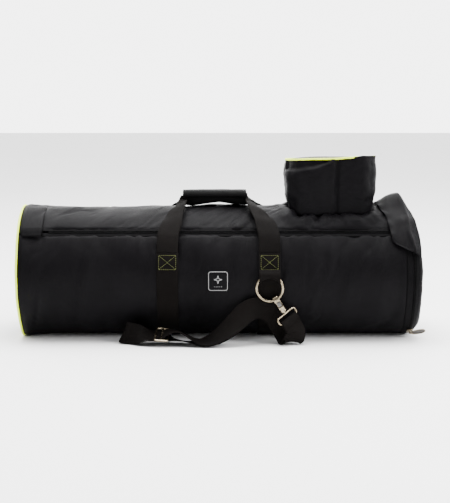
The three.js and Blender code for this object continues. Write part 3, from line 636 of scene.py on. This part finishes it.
def end_zip(name, xs, radii, teeth_x, teeth_radius, body, tape_node, teeth_node):
    """One side of the zip round the right end: xs and radii are those of the tape's two edges."""
    angles = np.linspace(FRONT_ZIP + 1.6, BODY_REAR, 150)
    angle, share = np.meshgrid(angles, np.linspace(0, 1, 5), indexing="ij")
    x = xs[0] + (xs[1] - xs[0]) * share
    tape = around(x, angle, radii[0] + (radii[1] - radii[0]) * share - 0.6)
    tape[..., 2] = np.maximum(tape[..., 2], 0.8)
    cloth(f"end_zip_{name}_tape", settle(tape), 1.0, ZIP_TAPE, body, (tape_node,))
    path = around(teeth_x, angles, teeth_radius)
    path[:, 2] = np.maximum(path[:, 2], 1.2)
    side = np.tile([0.6, 0, 0], (len(angles), 1))
    zip_coil(f"end_zip_{name}_coil", settle(path), outward(angles), side, body, (teeth_node,))


def build_zips():
    """Both zips, and the tab that hides the front one's left end."""
    front_zip("lower", FRONT_ZIP + 4.4, FRONT_ZIP + 1.2, FRONT_ZIP + 0.7, "shell")
    front_zip("upper", FRONT_ZIP - 1.2, FRONT_ZIP - 4.2, FRONT_ZIP - 0.7, "lid")
    nodes = ("end_zip_tape_body", "end_zip_teeth_body")
    end_zip("inner", (345.2, 358.3), (124.0, 123.2), 359.1, 122.6, "shell", *nodes)
    nodes = ("end_zip_teeth_cap", "end_zip_tape_cap")
    end_zip("outer", (361.9, 370.6), (122.8, 119.0), 360.9, 122.4, "lid", *nodes)
    angles = np.linspace(FRONT_ZIP - 4.4, FRONT_ZIP + 5.4, 9)
    x, angle = np.meshgrid(np.linspace(-372, COLLAR_X - 1, 14), angles, indexing="ij")
    bow = 1.2 * bell(angle, FRONT_ZIP, 4) + 0.3 * perlin(x, angle * 2, 12, 12, 3.3)
    cloth("zip_garage_tab", around(x, angle, RADIUS + 1.4 + bow), 1.2, ZIP_TAPE, "shell", ("zip_garage",))


# --- Lid, end wall, pod and flap ---
def pod_distance(x, y):
    """About how far a place on the lid is outside the pod's foot."""
    dx, dy = np.abs(x - POD_X) - 52, np.abs(y) - 34
    return np.hypot(np.maximum(dx, 0), np.maximum(dy, 0)) - 24


def lid_folds(x, arc):
    """Long slanting folds of the lid, more of them in its middle, and gathers beside the zip."""
    folds = perlin(x + 0.5 * arc, arc, 60, 90, 11.2) * 2.2 + perlin(x + 1.6 * arc, arc, 150, 60, 4.2) * 2.0
    folds = folds + bell(x, 10, 80) * perlin(x + 0.9 * arc, arc, 26, 80, 6.6) * 2.4
    crease = np.abs(perlin(x + 0.8 * arc, arc, 48, 120, 9.9, 3))
    creases = 2.2 * np.exp(-((crease / 0.09) ** 2)) * np.clip(0.4 + perlin(x, arc, 90, 60, 3.6), 0, 1)
    seam = np.exp(-np.abs(arc - rad(LID_FRONT) * RADIUS) / 20)
    return folds - creases + perlin(x, arc, 15, 50, 5.1) * 1.7 * seam


def pod_pull(x, y, arc):
    """How the lid puckers and rises round the pod."""
    away = pod_distance(x, y)
    turn = np.degrees(np.arctan2(y, x - POD_X))
    near = np.exp(-np.clip(away, 0, None) / 24)
    puckers = near * (perlin(turn * 2.2, away, 24, 60, 7.9, 3) * 6.5 + perlin(x, arc, 14, 18, 9.6, 2) * 3.4)
    rise = (9.0 - 3.0 * bell(x, 165, 22)) * np.exp(-(((away - 10) / 15) ** 2))
    pleat = -3.6 * near * np.exp(-((perlin(turn * 2.2, away, 46, 90, 3.3) / 0.08) ** 2))
    return puckers + rise + pleat


def lid_outside(x, angle):
    """The skin of the lid: it starts flush with the collar, and takes its own folds further right."""
    arc = rad(angle) * RADIUS
    taper = 4.4 * ramp(x, SHELL_END, 25) ** 1.5
    under_grip = 4.5 * bell(x, 0, 75) * bell(angle, 88, 26)
    radius = RADIUS - 0.8 - taper + lid_folds(x, arc) + under_grip
    radius = radius + pod_pull(x, RADIUS * np.cos(rad(angle)), arc)
    radius = np.minimum(radius, RADIUS + 3.5 + 6.0 * ramp(x, 118, 12) * ramp(-x, -300, 12))
    collar = body_outside(x, angle)
    collar = np.hypot(collar[..., 1], collar[..., 2] - AXIS)
    share = ramp(x, COLLAR_X, 45)
    share = share**2 * (3 - 2 * share)
    return around(x, angle, collar + (radius - collar) * share)


def build_lid():
    """The lid, with the opening under the pod, and the right end wall that opens with it."""
    xs = np.concatenate([np.linspace(COLLAR_X, 341, 200), [343, 344.5, 350, 356, 362, 367, 370]])
    angles = np.linspace(REAR_SEAM + SEAM_GAP, LID_FRONT - 0.2, 80)
    x, angle = np.meshgrid(xs, angles, indexing="ij")
    depth = np.where(x > SHELL_END - 0.4, 1.4, WALL - 1)
    sections = wall_sections(lid_outside(x, angle), angle, 1.8, 2.0, depth)
    lid = loft("lid_wall", sections, NYLON, "lid", ("lid_shell", "lid_foam", "lid_lining"))
    line_inside(lid, len(xs) - 1, len(angles))
    hole = pod_distance(x, RADIUS * np.cos(rad(angle))) < -14
    punch(lid, np.concatenate([hole, hole[:, ::-1]], axis=1).ravel())
    nodes = ("right_end_cap", "right_end_foam", "right_end_lining")
    end_wall("right_end_wall", 376.4, 362.2, 118.4, 1.6, 11, "lid", nodes)


def punch(obj, hole):
    """Takes out the faces of a wall whose corners are all in the hole, and closes the cut with a rim."""
    mesh = bmesh.new()
    mesh.from_mesh(obj.data)
    gone = [f for f in mesh.faces if len(f.verts) == 4 and all(hole[v.index] for v in f.verts)]
    bmesh.ops.delete(mesh, geom=gone, context="FACES")
    bmesh.ops.bridge_loops(mesh, edges=[e for e in mesh.edges if e.is_boundary])
    mesh.to_mesh(obj.data)
    mesh.free()


def pod_ring(share, inset, count=200):
    """One ring of the pod's padded wall seen from above, share 0 at the lid and 1 at the top."""
    swell = 3.6 * math.sin(math.pi * min(share * 1.06, 1)) ** 0.7 if share > 0 else 0
    spread = 5.0 * share**0.8
    ring, out = rounded_rectangle(POD_HALF_X + spread, POD_HALF_Y + spread, 25 + 3 * share, count)
    x, y = ring[:, 0] + POD_X, ring[:, 1]
    round_it = np.arange(count) / count * 500
    level = np.full(count, share * 100)
    seam = np.zeros(count)
    for centre, side in ((POD_SEAM_X, -1), (POD_X, 1)):
        seam = np.maximum(seam, np.where(y * side > 30, bell(x, centre, 4.0), 0))
    for corner in (-70 - 5 * share, 70 + 5 * share):
        seam = np.maximum(seam, 0.3 * bell(x - POD_X, corner, 5) * (np.abs(y) > 30))
    soft = perlin(round_it, level, 55, 60, 12.6) * 3.2
    crease = perlin(round_it + 40 * share, level, 26, 24, 2.7, 3) * 2.2
    push = swell * (1 - 0.9 * seam) + (soft + crease) * min(1, share * 4) * (1 - 0.6 * seam) - 2.6 * seam
    # the front's left half folds in below the top, along a line that climbs towards the seam
    fold = np.interp(x, [125, 175, 200, 214], [0.79, 0.84, 0.92, 1.02])
    front_left = (y < -25) * (x < 214)
    over = ramp(share, fold, 0.05) * front_left
    lip = bell(share, fold - 0.05, 0.07) * front_left
    push = push - 6.0 * over + 1.2 * lip - inset
    return np.stack([x + out[:, 0] * push, y + out[:, 1] * push], axis=1)


def pod_rim(x, y):
    """Height of the pod's top edge: the front stands a little higher, most of all at its right."""
    front = np.clip(-y / 61, -1, 1)
    right = ramp(x, 222, 44) * ramp(front, -0.2, 0.6)
    left = ramp(-x, -170, 40)
    return POD_TOP + 0.5 + 3.0 * front + 7.5 * right - 1.5 * left + 0.8 * perlin(x, y, 50, 50, 3.9)


def pod_rings(inset):
    """Rings of the pod's wall from the lid to the top, some way in from its outside."""
    rows = []
    for share in np.concatenate([[0.0, 0.02], np.linspace(0.05, 0.97, 44), [1.0]]):
        flat = pod_ring(share, inset)
        y = np.clip(flat[:, 1], -RADIUS + 5, RADIUS - 5)
        foot = AXIS + np.sqrt((RADIUS + 0.6) ** 2 - y**2)
        top = pod_rim(flat[:, 0], flat[:, 1])
        rows.append(np.column_stack([flat, foot + (top - foot) * share]))
    return np.array(rows)


def build_pod():
    """The padded box on the lid."""
    outer, inner = pod_rings(0), pod_rings(12.5)
    inner[-1, :, 2] -= 3
    sections = np.concatenate([outer, inner[::-1]], axis=0).transpose(1, 0, 2)
    nodes = ("pod_shell", "pod_foam", "pod_lining")
    wall = loft("pod_wall", sections, NYLON, "lid", nodes, closed=True)
    line_inside(wall, len(sections), len(outer))
    build_pod_top(outer[-1])
    build_pod_piping(outer[-1])
    edge, _ = rounded_rectangle(61, 43, 9, 120)
    height = AXIS + np.sqrt((RADIUS - WALL + 1) ** 2 - edge[:, 1] ** 2)
    edge = np.column_stack([edge[:, 0] + POD_X, edge[:, 1], height])
    tube("pod_opening_binding", edge, 4.6, WEB, "lid", closed=True)


def build_pod_top(rim):
    """The pod's crowned top panel, with its underside a little inside the wall."""
    centre = rim.mean(axis=0)
    rings = []
    for share in (1.0, 0.99, 0.95, 0.88, 0.75, 0.55, 0.3, 0.02):
        ring = centre + (rim - centre) * share
        ring[:, 2] = rim[:, 2] * share**3 + (POD_TOP + 5.5) * (1 - share**3) - 0.8
        ring[:, 2] += 0.8 * perlin(ring[:, 0], ring[:, 1], 40, 40, 5.5) * (1 - share)
        rings.append(ring)
    under = np.array(rings)
    under[:, :, 2] -= 11.0
    under[0, :, 2] += 8.0
    under[..., :2] = centre[:2] + (under[..., :2] - centre[:2]) * 0.84
    sections = np.concatenate([rings[::-1], under])
    top = loft("pod_top_panel", sections, NYLON, "lid", ("pod_top", "pod_top_foam"))


def build_pod_piping(rim):
    """The cord round the pod's top, which slips behind the raised front right corner."""
    hidden = ramp(rim[:, 0], 232, 40) * ramp(-rim[:, 1], 10, 20)
    centre = rim.mean(axis=0)
    path = sum(np.roll(rim, shift, axis=0) for shift in range(-5, 6)) / 11
    path[:, :2] = centre[:2] + (path[:, :2] - centre[:2]) * (1.004 - 0.06 * hidden[:, None])
    path[:, 2] += 1.0 - 4.0 * hidden
    tube("pod_piping_cord", path, 1.9, PIPING, "lid", ("pod_piping",), closed=True)


FLAP_ANGLES = [73, 95, 115, 124.6, 139.8, 146, 150, 154.6, 157, 159.5, 161]
FLAP_LEFT = [297, 295, 306, 313.5, 315.5, 320, 327, 342, 353, 366, 370.5]
FLAP_RIGHT = [330, 340, 360, 365.5, 370.5, 371.5, 372, 372, 372, 372, 371.8]


def flap_row(angle, columns=36):
    """One row of the storm flap: it crests over the top, and folds along the corner of the end."""
    left, right = (np.interp(angle, FLAP_ANGLES, side) for side in (FLAP_LEFT, FLAP_RIGHT))
    ripple = 1.4 * math.sin(angle * 0.33) * ramp(angle, 100, 15)
    x = np.linspace(left + ripple, right, columns)
    share = np.linspace(0, 1, columns)
    peak = np.interp(x, [292, 306, 317, 330, 340, 346, 354, 364], [0, 8, 15, 20.5, 23, 18, 9, 3])
    ridge_x = np.interp(angle, [85, 96, 121, 139, 154], [340, 341, 350, 351, 359])
    ridge = 6.5 * np.exp(-np.abs(x - ridge_x) / 9) * ramp(angle, 92, 15)
    fold = 2.6 * bell(angle, 127 - (x - 330) * 0.06, 4.5) * ramp(x, 325, 12)
    slope = -5.5 * ramp(x, ridge_x, 14) * ramp(angle, 112, 14)
    hem = 1.5 * bell(share, 0, 0.12) * math.sin(angle * 0.5)
    lift = 3.4 + 1.3 * perlin(x, angle * 2, 24, 34, 4.8) + hem
    return around(x, angle, RADIUS + lift + peak * bell(angle, 92, 17) + ridge + fold + slope)


def build_flap():
    """A flap sewn across the top of the end, draped over the corner of the zip."""
    grid = [flap_row(angle) for angle in np.linspace(FLAP_ANGLES[0], FLAP_ANGLES[-1], 72)]
    flap = cloth("storm_flap_cloth", grid, 1.3, NYLON, "flap", ("storm_flap",))


# --- Webbing, handles and label ---
def box_stitch(name, x, side):
    """A sewn square with a cross in it, over the end of a handle."""
    half, low, high = 15.8, 140.5, 166
    corners = np.array([[-half, low], [half, low], [half, high], [-half, high]])
    lines = []
    for start, end in ((0, 1), (3, 2), (0, 3), (1, 2), (0, 2), (3, 1)):
        dx, z = np.linspace(corners[start], corners[end], 8).T
        lines.append(np.column_stack([x + dx, side * np.sqrt((RADIUS + 2.7) ** 2 - (z - AXIS) ** 2), z]))
    stitches(name, lines, 3.4, 0.75, THREAD, "shell")


def build_girths():
    """The straps round the case, with the stitched squares that join them to the handles."""
    for name, x in (("left", LEG_LEFT), ("right", LEG_RIGHT)):
        angle = np.linspace(BOX_TOP - 1.1, 541.1 - BOX_TOP, 140)
        points = around(x, angle, RADIUS + 1.4)
        points[:, 2] = np.maximum(points[:, 2], 1.0)
        across = np.tile([1.0, 0, 0], (len(angle), 1))
        ribbon(f"{name}_girth_webbing", points, across, "shell", (f"{name}_girth_strap",))
        box_stitch(f"{name}_front_box_stitch", x, -1)
        box_stitch(f"{name}_rear_box_stitch", x, 1)


def handle_side(leg_x, grip_end):
    """Rows of place, width direction, width and thickness from the foot of one leg into the grip."""
    side = 1 if grip_end > leg_x else -1

    def leg(inward, angle, height):
        return around(leg_x + side * inward, angle, RADIUS + height)

    def rising(share, y, z):
        return [leg_x + (grip_end - leg_x) * share, y, z]

    def in_grip(inward, y, z):
        return [grip_end + side * inward, y, z]

    return [
        [*leg(0, BOX_TOP - 1.4, 1.8), 1, 0, 0, 40, 1.8],
        [*leg(0, 154, 3.2), 1, 0, 0, 40, 1.8],
        [*leg(0, 148, 6), 1, 0, 0, 40, 1.8],
        [*leg(1.5, 141, 8.5), 1, 0, side * 0.05, 40, 1.8],
        [*leg(8, 130, 9), 0.98, side * 0.12, side * 0.28, 38, 1.8],
        [*rising(0.44, -66, 237), 0.88, side * 0.26, side * 0.42, 33, 2.0],
        [*rising(0.72, -48, 249.5), 0.78, side * 0.4, side * 0.5, 27, 2.4],
        [*rising(0.88, -31, 256), 0.6, side * 0.66, side * 0.4, 20, 2.8],
        [*rising(0.97, -16, 260), 0.2, side, side * 0.1, 14, 3.4],
        [*in_grip(8, -10.5, 262), 0, side, 0, 13, 3.4],
        [*in_grip(24, -10, 262.5), 0, side, 0, 13, 3.4],
    ]


def handle_keys(side):
    """Rows for a whole handle; the rear one mirrors the front one."""
    left = handle_side(LEG_LEFT, GRIP_X - GRIP_HALF)
    right = handle_side(LEG_RIGHT, GRIP_X + GRIP_HALF)
    for row in right:
        # the width direction keeps the sense it has in the left half
        if row[4] < -0.7:
            row[3:6] = [-row[3], -row[4], -row[5]]
    keys = np.array(left + right[::-1], float)
    keys[:, 1] *= -side
    keys[:, 4] *= -side
    return keys


def build_handles():
    """Both handles, each with its half of the padded wrap, and the wrap's closing flap."""
    for name, side in (("front", -1), ("rear", 1)):
        rows = smooth_path(handle_keys(side), 150)
        points = rows[:, :3]
        strap = ribbon(
            f"{name}_handle_strap", points, rows[:, 3:6], f"{name}_handle", (f"{name}_handle_webbing",),
            width=rows[:, 6], thickness=rows[:, 7],
        )
        grip_half(name, side)
    grip_flap()


def grip_outline(share):
    """The section of the front half of the wrap, as y and z; share runs from its left end to its right."""
    low = 247.8 + 7.0 * max(0, 1 - abs(share - 0.55) / 0.45)
    top = 274.0 - 0.8 * (2 * share - 1) ** 2
    end_round = 2.5 * abs(2 * share - 1) ** 8
    outer = [
        [0.3, top], [8, top + 0.3], [15, top - 0.2], [20, top - 2.2], [22.6, top - 6], [23.4, 265],
        [23.6, 260], [22.8, low + 4], [20.4, low + 1.4], [15.5, low], [8, low - 0.2], [0.3, low],
    ]
    inner = [
        [0.3, low + 2.6], [13, low + 2.8], [18.6, low + 5], [20.6, 262], [19.6, top - 7], [15.6, top - 3.4],
        [0.3, top - 3],
    ]
    outer = [[y - end_round * (y > 10), z + end_round * np.sign(262 - z)] for y, z in outer]
    return np.array(outer + inner)


def grip_half(name, side):
    """Half of the padded wrap round the handles."""
    sections = []
    for share in np.linspace(0, 1, 40):
        x = np.full(19, GRIP_X + GRIP_HALF * (2 * share - 1))
        y, z = grip_outline(share).T
        wobble = perlin(x, y * 3 + z, 22, 26, 6.6 + side, 3) * 1.1
        sections.append(np.column_stack([x, side * (y + np.where(y > 5, wobble, 0)), z + 0.5 * wobble]))
    pad = loft(f"{name}_grip_pad", sections, GRIP_CLOTH, f"{name}_handle", (f"{name}_grip_sleeve",))


def grip_flap():
    """The closing flap of the wrap: it comes over the top and ends on the front in a straight edge."""
    keys = [[16, 275.6], [8, 276.8], [0, 277.2], [-8, 277], [-15, 276.2], [-20.4, 274], [-23.8, 270.5]]
    y, z = smooth_path(keys + [[-25.2, 266.4]], 26).T
    grid = []
    for along in np.linspace(GRIP_X - GRIP_HALF - 2.5, GRIP_X + GRIP_HALF - 2.5, 40):
        x = np.full_like(y, along)
        droop = 0.48 * ((along - GRIP_X) / 60) ** 4
        grid.append(np.column_stack([x, y, z + 0.7 * perlin(x, y, 30, 20, 2.9) - droop]))
    flap = cloth("grip_closing_flap", grid, 2.0, GRIP_CLOTH, "front_handle", ("grip_closure_tab",))


def build_label():
    """A woven square with a plain border, a four-pointed star and a row of dots."""
    centre_x, centre_z, half = -5.0, 119.0, 19.0

    def on_skin(dx, dz, lift):
        z = centre_z + dz
        return np.array([centre_x + dx, -math.sqrt((RADIUS + 1.6 + lift) ** 2 - (z - AXIS) ** 2), z])

    places = np.linspace(-half, half, 12)
    grid = [[on_skin(dx, dz, 0.4) for dx in places] for dz in places]
    cloth("label_square", grid, 0.9, LABEL, "shell", ("label_patch",))
    ring, _ = rounded_rectangle(half - 1.6, half - 1.6, 4, 120)
    border = [on_skin(dx, dz, 1.1) for dx, dz in ring]
    tube("label_border", border, 0.5, GREY_THREAD, "shell", closed=True, sides=6)
    star = []
    for k in range(9):
        reach = 7.5 if k % 2 == 0 else 2.2
        turn = (k % 8) * math.pi / 4
        star.append(on_skin(reach * math.sin(turn), 3 + reach * math.cos(turn), 1.2))
    dense = np.concatenate([np.linspace(a, b, 6)[:-1] for a, b in zip(star, star[1:])])
    tube("label_star", dense, 0.55, GREY_THREAD, "shell", closed=True, sides=6)
    dots = [on_skin(dx, -10.5, 1.1) for dx in np.linspace(-8, 8, 9)]
    stitches("label_dots", [dots], 3.0, 0.9, GREY_THREAD, "shell")


# --- Rings, hooks and shoulder strap ---
def ring_keeper(name, x, side):
    """The loop of webbing that holds a ring's top; its fold follows the wire."""
    half = STRAP_WIDTH / 2 - 0.6
    sections = []
    for across in np.linspace(-half, half, 15):
        low = RING_Z + math.sqrt(RING_RADIUS**2 - min(abs(across), 19) ** 2) - 6.6
        out = [
            [126.6, 139.5], [126.6, low + 6], [127.4, low + 2], [129.5, low + 0.4], [133, low],
            [136.8, low + 1.2], [139.2, low + 4.5], [139.4, 130], [137, 135], [132, 139.5], [129.4, 141],
        ]
        back = [
            [128.4, 139.6], [131.2, 138], [135.6, 134], [137.6, 130], [137.4, low + 5], [135.8, low + 3],
            [133, low + 1.9], [130.2, low + 2.3], [128.6, low + 4.4], [128.3, 138],
        ]
        y, z = np.array(out + back).T
        sections.append(np.column_stack([np.full_like(y, x + across), side * y, z]))
    loft(f"{name}_keeper_loop", sections, WEB, "shell", (f"ring_keeper_{name}",))


def ring_point(x, side, angle):
    """A place round a ring's centre."""
    return np.array([x + RING_RADIUS * np.cos(angle), side * RING_Y, RING_Z + RING_RADIUS * np.sin(angle)])


def loop_frame(side, x, ring_angle, lean):
    """Where a snap hook's eye sits on its ring, and the directions of the loop turned on its neck."""
    eye = ring_point(x, side, rad(ring_angle))
    shank = np.array([math.sin(rad(lean)), 0, -math.cos(rad(lean))])
    gate = np.array([0, float(side), 0])
    across = np.cross(shank, gate)
    c, s = math.cos(rad(LOOP_TURN)), math.sin(rad(LOOP_TURN))
    return eye, shank, gate * c + across * s, across * c - gate * s


FRONT_LOOP = loop_frame(-1, LEG_RIGHT, -60, 33)
REAR_LOOP = loop_frame(1, LEG_LEFT, -120, -25)


def polish(node, material, width=0.0005):
    """Shows a CAD node itself, with softened edges."""
    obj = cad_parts[node]
    obj.data.materials.clear()
    obj.data.materials.append(material)
    weld = obj.modifiers.new("weld", "WELD")
    weld.merge_threshold = 0.00002
    edge = obj.modifiers.new("edge", "BEVEL")
    edge.width = width
    edge.segments = 2
    edge.limit_method = "ANGLE"
    edge.angle_limit = math.radians(35)
    obj.data.shade_smooth()


def strap_end(name, eye, shank, gate, across):
    """The wire loop on a hook's neck, and the end of the strap sewn round it."""
    centre = eye + shank * (LOOP_NEAR + LOOP_DEPTH / 2)
    outline, _ = rounded_rectangle(LOOP_DEPTH / 2, STRAP_WIDTH / 2 + 3.0, 4, 72)
    points = [centre + shank * a + across * c for a, c in outline]
    body = f"loop_{name}"
    tube(f"{name}_wire_loop", points, LOOP_WIRE, NICKEL, body, (f"strap_loop_{name}",), closed=True)
    bar = eye + shank * (LOOP_NEAR + LOOP_DEPTH)
    leg = shank * (FOLD_END - LOOP_NEAR - LOOP_DEPTH)
    reach = 2.9
    line = [bar + leg - gate * reach]
    line += [bar + reach * (gate * math.sin(t) - shank * math.cos(t)) for t in rad(np.linspace(-90, 90, 12))]
    line += [bar + leg + gate * reach]
    across = np.tile(across, (len(line), 1))
    ribbon(f"{name}_strap_fold", line, across, body, (f"strap_fold_{name}",))


def build_hardware():
    """Rings, their keepers, snap hooks, strap ends, adjuster and zip slider."""
    for name, side, x, loop in (("front", -1, LEG_RIGHT, FRONT_LOOP), ("rear", 1, LEG_LEFT, REAR_LOOP)):
        ring_keeper(name, x, side)
        ring = [ring_point(x, side, angle) for angle in np.linspace(0, 2 * math.pi, 72, endpoint=False)]
        body = f"ring_{name}"
        tube(f"{name}_o_ring", ring, RING_WIRE, NICKEL, body, (body,), closed=True, sides=16)
        polish(f"hook_body_{name}", NICKEL, 0.0009)
        polish(f"hook_gate_{name}", STEEL)
        strap_end(name, *loop)
    polish("adjuster_frame", NICKEL)
    polish("zip_slider", NICKEL)
    build_zip_pull()


def build_zip_pull():
    """A long drop-shaped pull: a wire outline with a dark plate in it."""
    start = around(ZIP_SPLIT, SLIDER_ANGLE, RADIUS + 6.7)
    across = unit(np.array([0, -0.35, 0.94]))
    half = smooth_path([[0, 1.2], [4, 1.8], [9, 3.6], [17, 4.4], [25, 4.0], [29, 2.0], [30, 0.4]], 24)
    spine = start + half[:, :1] * unit(np.array([1.0, 0, 0.16]))
    edge = across * half[:, 1:]
    outline = np.concatenate([spine + edge, (spine - edge)[::-1]])
    tube("zip_pull_wire", outline, 0.9, NICKEL, "pull", ("zip_pull",), closed=True, sides=8)
    plate = np.linspace(spine - edge * 0.8, spine + edge * 0.8, 4, axis=1)
    cloth("zip_pull_plate", plate, 0.7, STEEL, "pull")


def strap_keys():
    """Rows of place and width direction along the shoulder strap, from the front fold to the rear one."""
    front_eye, front_shank, _, front_across = FRONT_LOOP
    rear_eye, rear_shank, _, rear_across = REAR_LOOP
    return np.array([
        [*(front_eye + front_shank * (FOLD_END - 6)), *-front_across],
        [*(front_eye + front_shank * (FOLD_END + 4)), *-front_across],
        # folded under, and up behind the hook
        [140, -132, 25.4, 0.72, 0.54, 0.46],
        [137.5, -135, 17, 0.86, 0.34, 0.3],
        [134.5, -135.8, 9.5, 0.98, 0.14, 0.1],
        [129, -129.5, 4.5, 1, 0, 0.02],
        [125, -123, 8.5, 0.98, 0, 0.18],
        [120, -119.5, 19, 0.9, 0, 0.43],
        [110.5, -119.5, 36, 0.75, 0, 0.66],
        [98, -120.6, 54.5, 0.55, 0, 0.83],
        [81, -126, 67, 0.25, 0.05, 0.96],
        # on edge against the case, then twisting flat as it comes down
        [63, -129.5, 68.5, 0, 0.2, 0.98],
        [46, -133, 61, -0.3, 0.35, 0.88],
        [30, -136, 46, -0.42, 0.5, 0.74],
        [13, -139, 30, -0.45, 0.7, 0.56],
        [-8, -141, 16, -0.35, 0.85, 0.38],
        [-34, -138, 6, -0.15, 0.98, 0.1],
        [-62, -134, 7, -0.05, 0.98, -0.16],
        [-86, -132, 10, 0, 0.98, -0.1],
        # through the adjuster, and round to go under the case
        [-108, -131, 16, 0, 0.95, 0.3],
        [-133, -130, 17, 0, 0.94, 0.33],
        [-158, -125.5, 19, 0.1, 0.45, 0.88],
        [-174, -124, 20.4, 0.35, 0, 0.94],
        [-181, -117, 20.4, 0.45, 0, 0.89],
        [-178, -109, 20, 0.45, -0.05, 0.89],
        [-165, -102, 14, 0.6, -0.2, 0.75],
        [-153, -84, 4.6, 0.97, 0, 0.2],
        [STRAP_UNDER_X, -56, 1.0, 1, 0, 0],
        [STRAP_UNDER_X, -30, 0.95, 1, 0, 0],
        [STRAP_UNDER_X, 0, 0.95, 1, 0, 0],
        [STRAP_UNDER_X, 30, 0.95, 1, 0, 0],
        [STRAP_UNDER_X, 60, 1.0, 1, 0, 0],
        [-149, 100, 1.6, 1, 0, 0],
        [-146, 126, 6, 0.99, 0, -0.1],
        [*(rear_eye + rear_shank * (FOLD_END + 10)), *rear_across],
        [*(rear_eye + rear_shank * (FOLD_END - 6)), *rear_across],
    ], float)


def short_of_floor(points, across):
    """How far each place of a band must rise so that no edge of it sinks into the floor."""
    _, turned, up = frames(points, across)
    reach = np.abs(turned[:, 2]) * STRAP_WIDTH / 2 + np.abs(up[:, 2]) * 0.6 * WEBBING + 0.2
    return np.maximum(reach - points[:, 2], 0)


def build_strap():
    """The shoulder strap, and its second layer from the front fold to just past the adjuster."""
    rows = smooth_path(strap_keys(), 320)
    points, across = rows[:, :3], rows[:, 3:]
    _, across, up = frames(points, across)
    end = np.argmax((points[:, 0] < -112) & (points[:, 1] < -100))
    doubled = points[:end] - up[:end] * (WEBBING + 0.5)
    # the layers part in an arch beside the adjuster
    doubled[:, 2] += 14 * bell(doubled[:, 0], -80, 25) * ramp(doubled[:, 0], -112, 12)
    lift = short_of_floor(points, across)
    lift[:end] = np.maximum(lift[:end], short_of_floor(doubled, across[:end]))
    for spread in (np.max, np.mean):
        lift = spread([np.roll(lift, shift) for shift in range(-6, 7)], axis=0)
    strap = ribbon("shoulder_strap_webbing", points, across, None, ("shoulder_strap",), lift=lift)
    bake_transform(strap)
    second = ribbon(
        "shoulder_strap_return", doubled, across[:end], None, width=STRAP_WIDTH - 0.6, lift=lift[:end]
    )
    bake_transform(second)


# --- Stage ---
def build_camera():
    data = bpy.data.cameras.new("camera")
    data.sensor_width = 36
    data.lens = 89.2
    camera = bpy.data.objects.new("camera", data)
    camera.location = (0.008, -2.4, 0.49)
    camera.rotation_euler = (math.radians(90 - 7.9), 0, 0)
    bpy.context.scene.collection.objects.link(camera)
    bpy.context.scene.camera = camera


def build_floor():
    material, tree = new_material("studio_floor")
    cloudy = noise_value(tree, object_place(tree), 2.0)
    shade(tree, {"Base Color": between_colours(tree, cloudy, (0.85,) * 3, (0.87,) * 3), "Roughness": 0.9})
    bpy.ops.mesh.primitive_plane_add(size=14, location=(0, 2, -0.0005))
    floor = bpy.context.object
    floor.name = "floor"
    floor.data.materials.append(material)


def build_world():
    """Light from all round, brighter from behind the case than from in front."""
    world = bpy.data.worlds.new("studio")
    world.use_nodes = True
    tree = world.node_tree
    sky = add_node(tree, "ShaderNodeTexCoord", "Generated")
    behind = add_node(tree, "ShaderNodeSeparateXYZ", "Y", {"Vector": sky})
    span = {"From Min": -0.5, "From Max": 0.6, "To Min": 0.5, "To Max": 5.4}
    strength = add_node(tree, "ShaderNodeMapRange", "Result", {"Value": behind, **span})
    set_inputs(tree, tree.nodes["Background"], {"Color": (1, 1, 1, 1), "Strength": strength})
    bpy.context.scene.world = world


def build_light(name, place, size, power):
    """A square lamp that looks at the middle of the case."""
    data = bpy.data.lights.new(name, "AREA")
    data.size = size
    data.energy = power
    light = bpy.data.objects.new(name, data)
    light.location = place
    light.rotation_euler = (Vector((0, 0, 0.12)) - Vector(place)).to_track_quat("-Z", "Y").to_euler()
    bpy.context.scene.collection.objects.link(light)


build_camera()
build_floor()
build_world()
build_light("key", (-0.3, 0.0, 2.4), 1.6, 90)
build_light("fill", (1.9, -0.9, 1.4), 1.6, 80)
build_light("top", (0.2, 0.3, 2.6), 2.2, 150)
build_body()
build_hinge()
build_left_end()
build_zips()
build_lid()
build_pod()
build_flap()
build_girths()
build_handles()
build_label()
build_hardware()
build_strap()
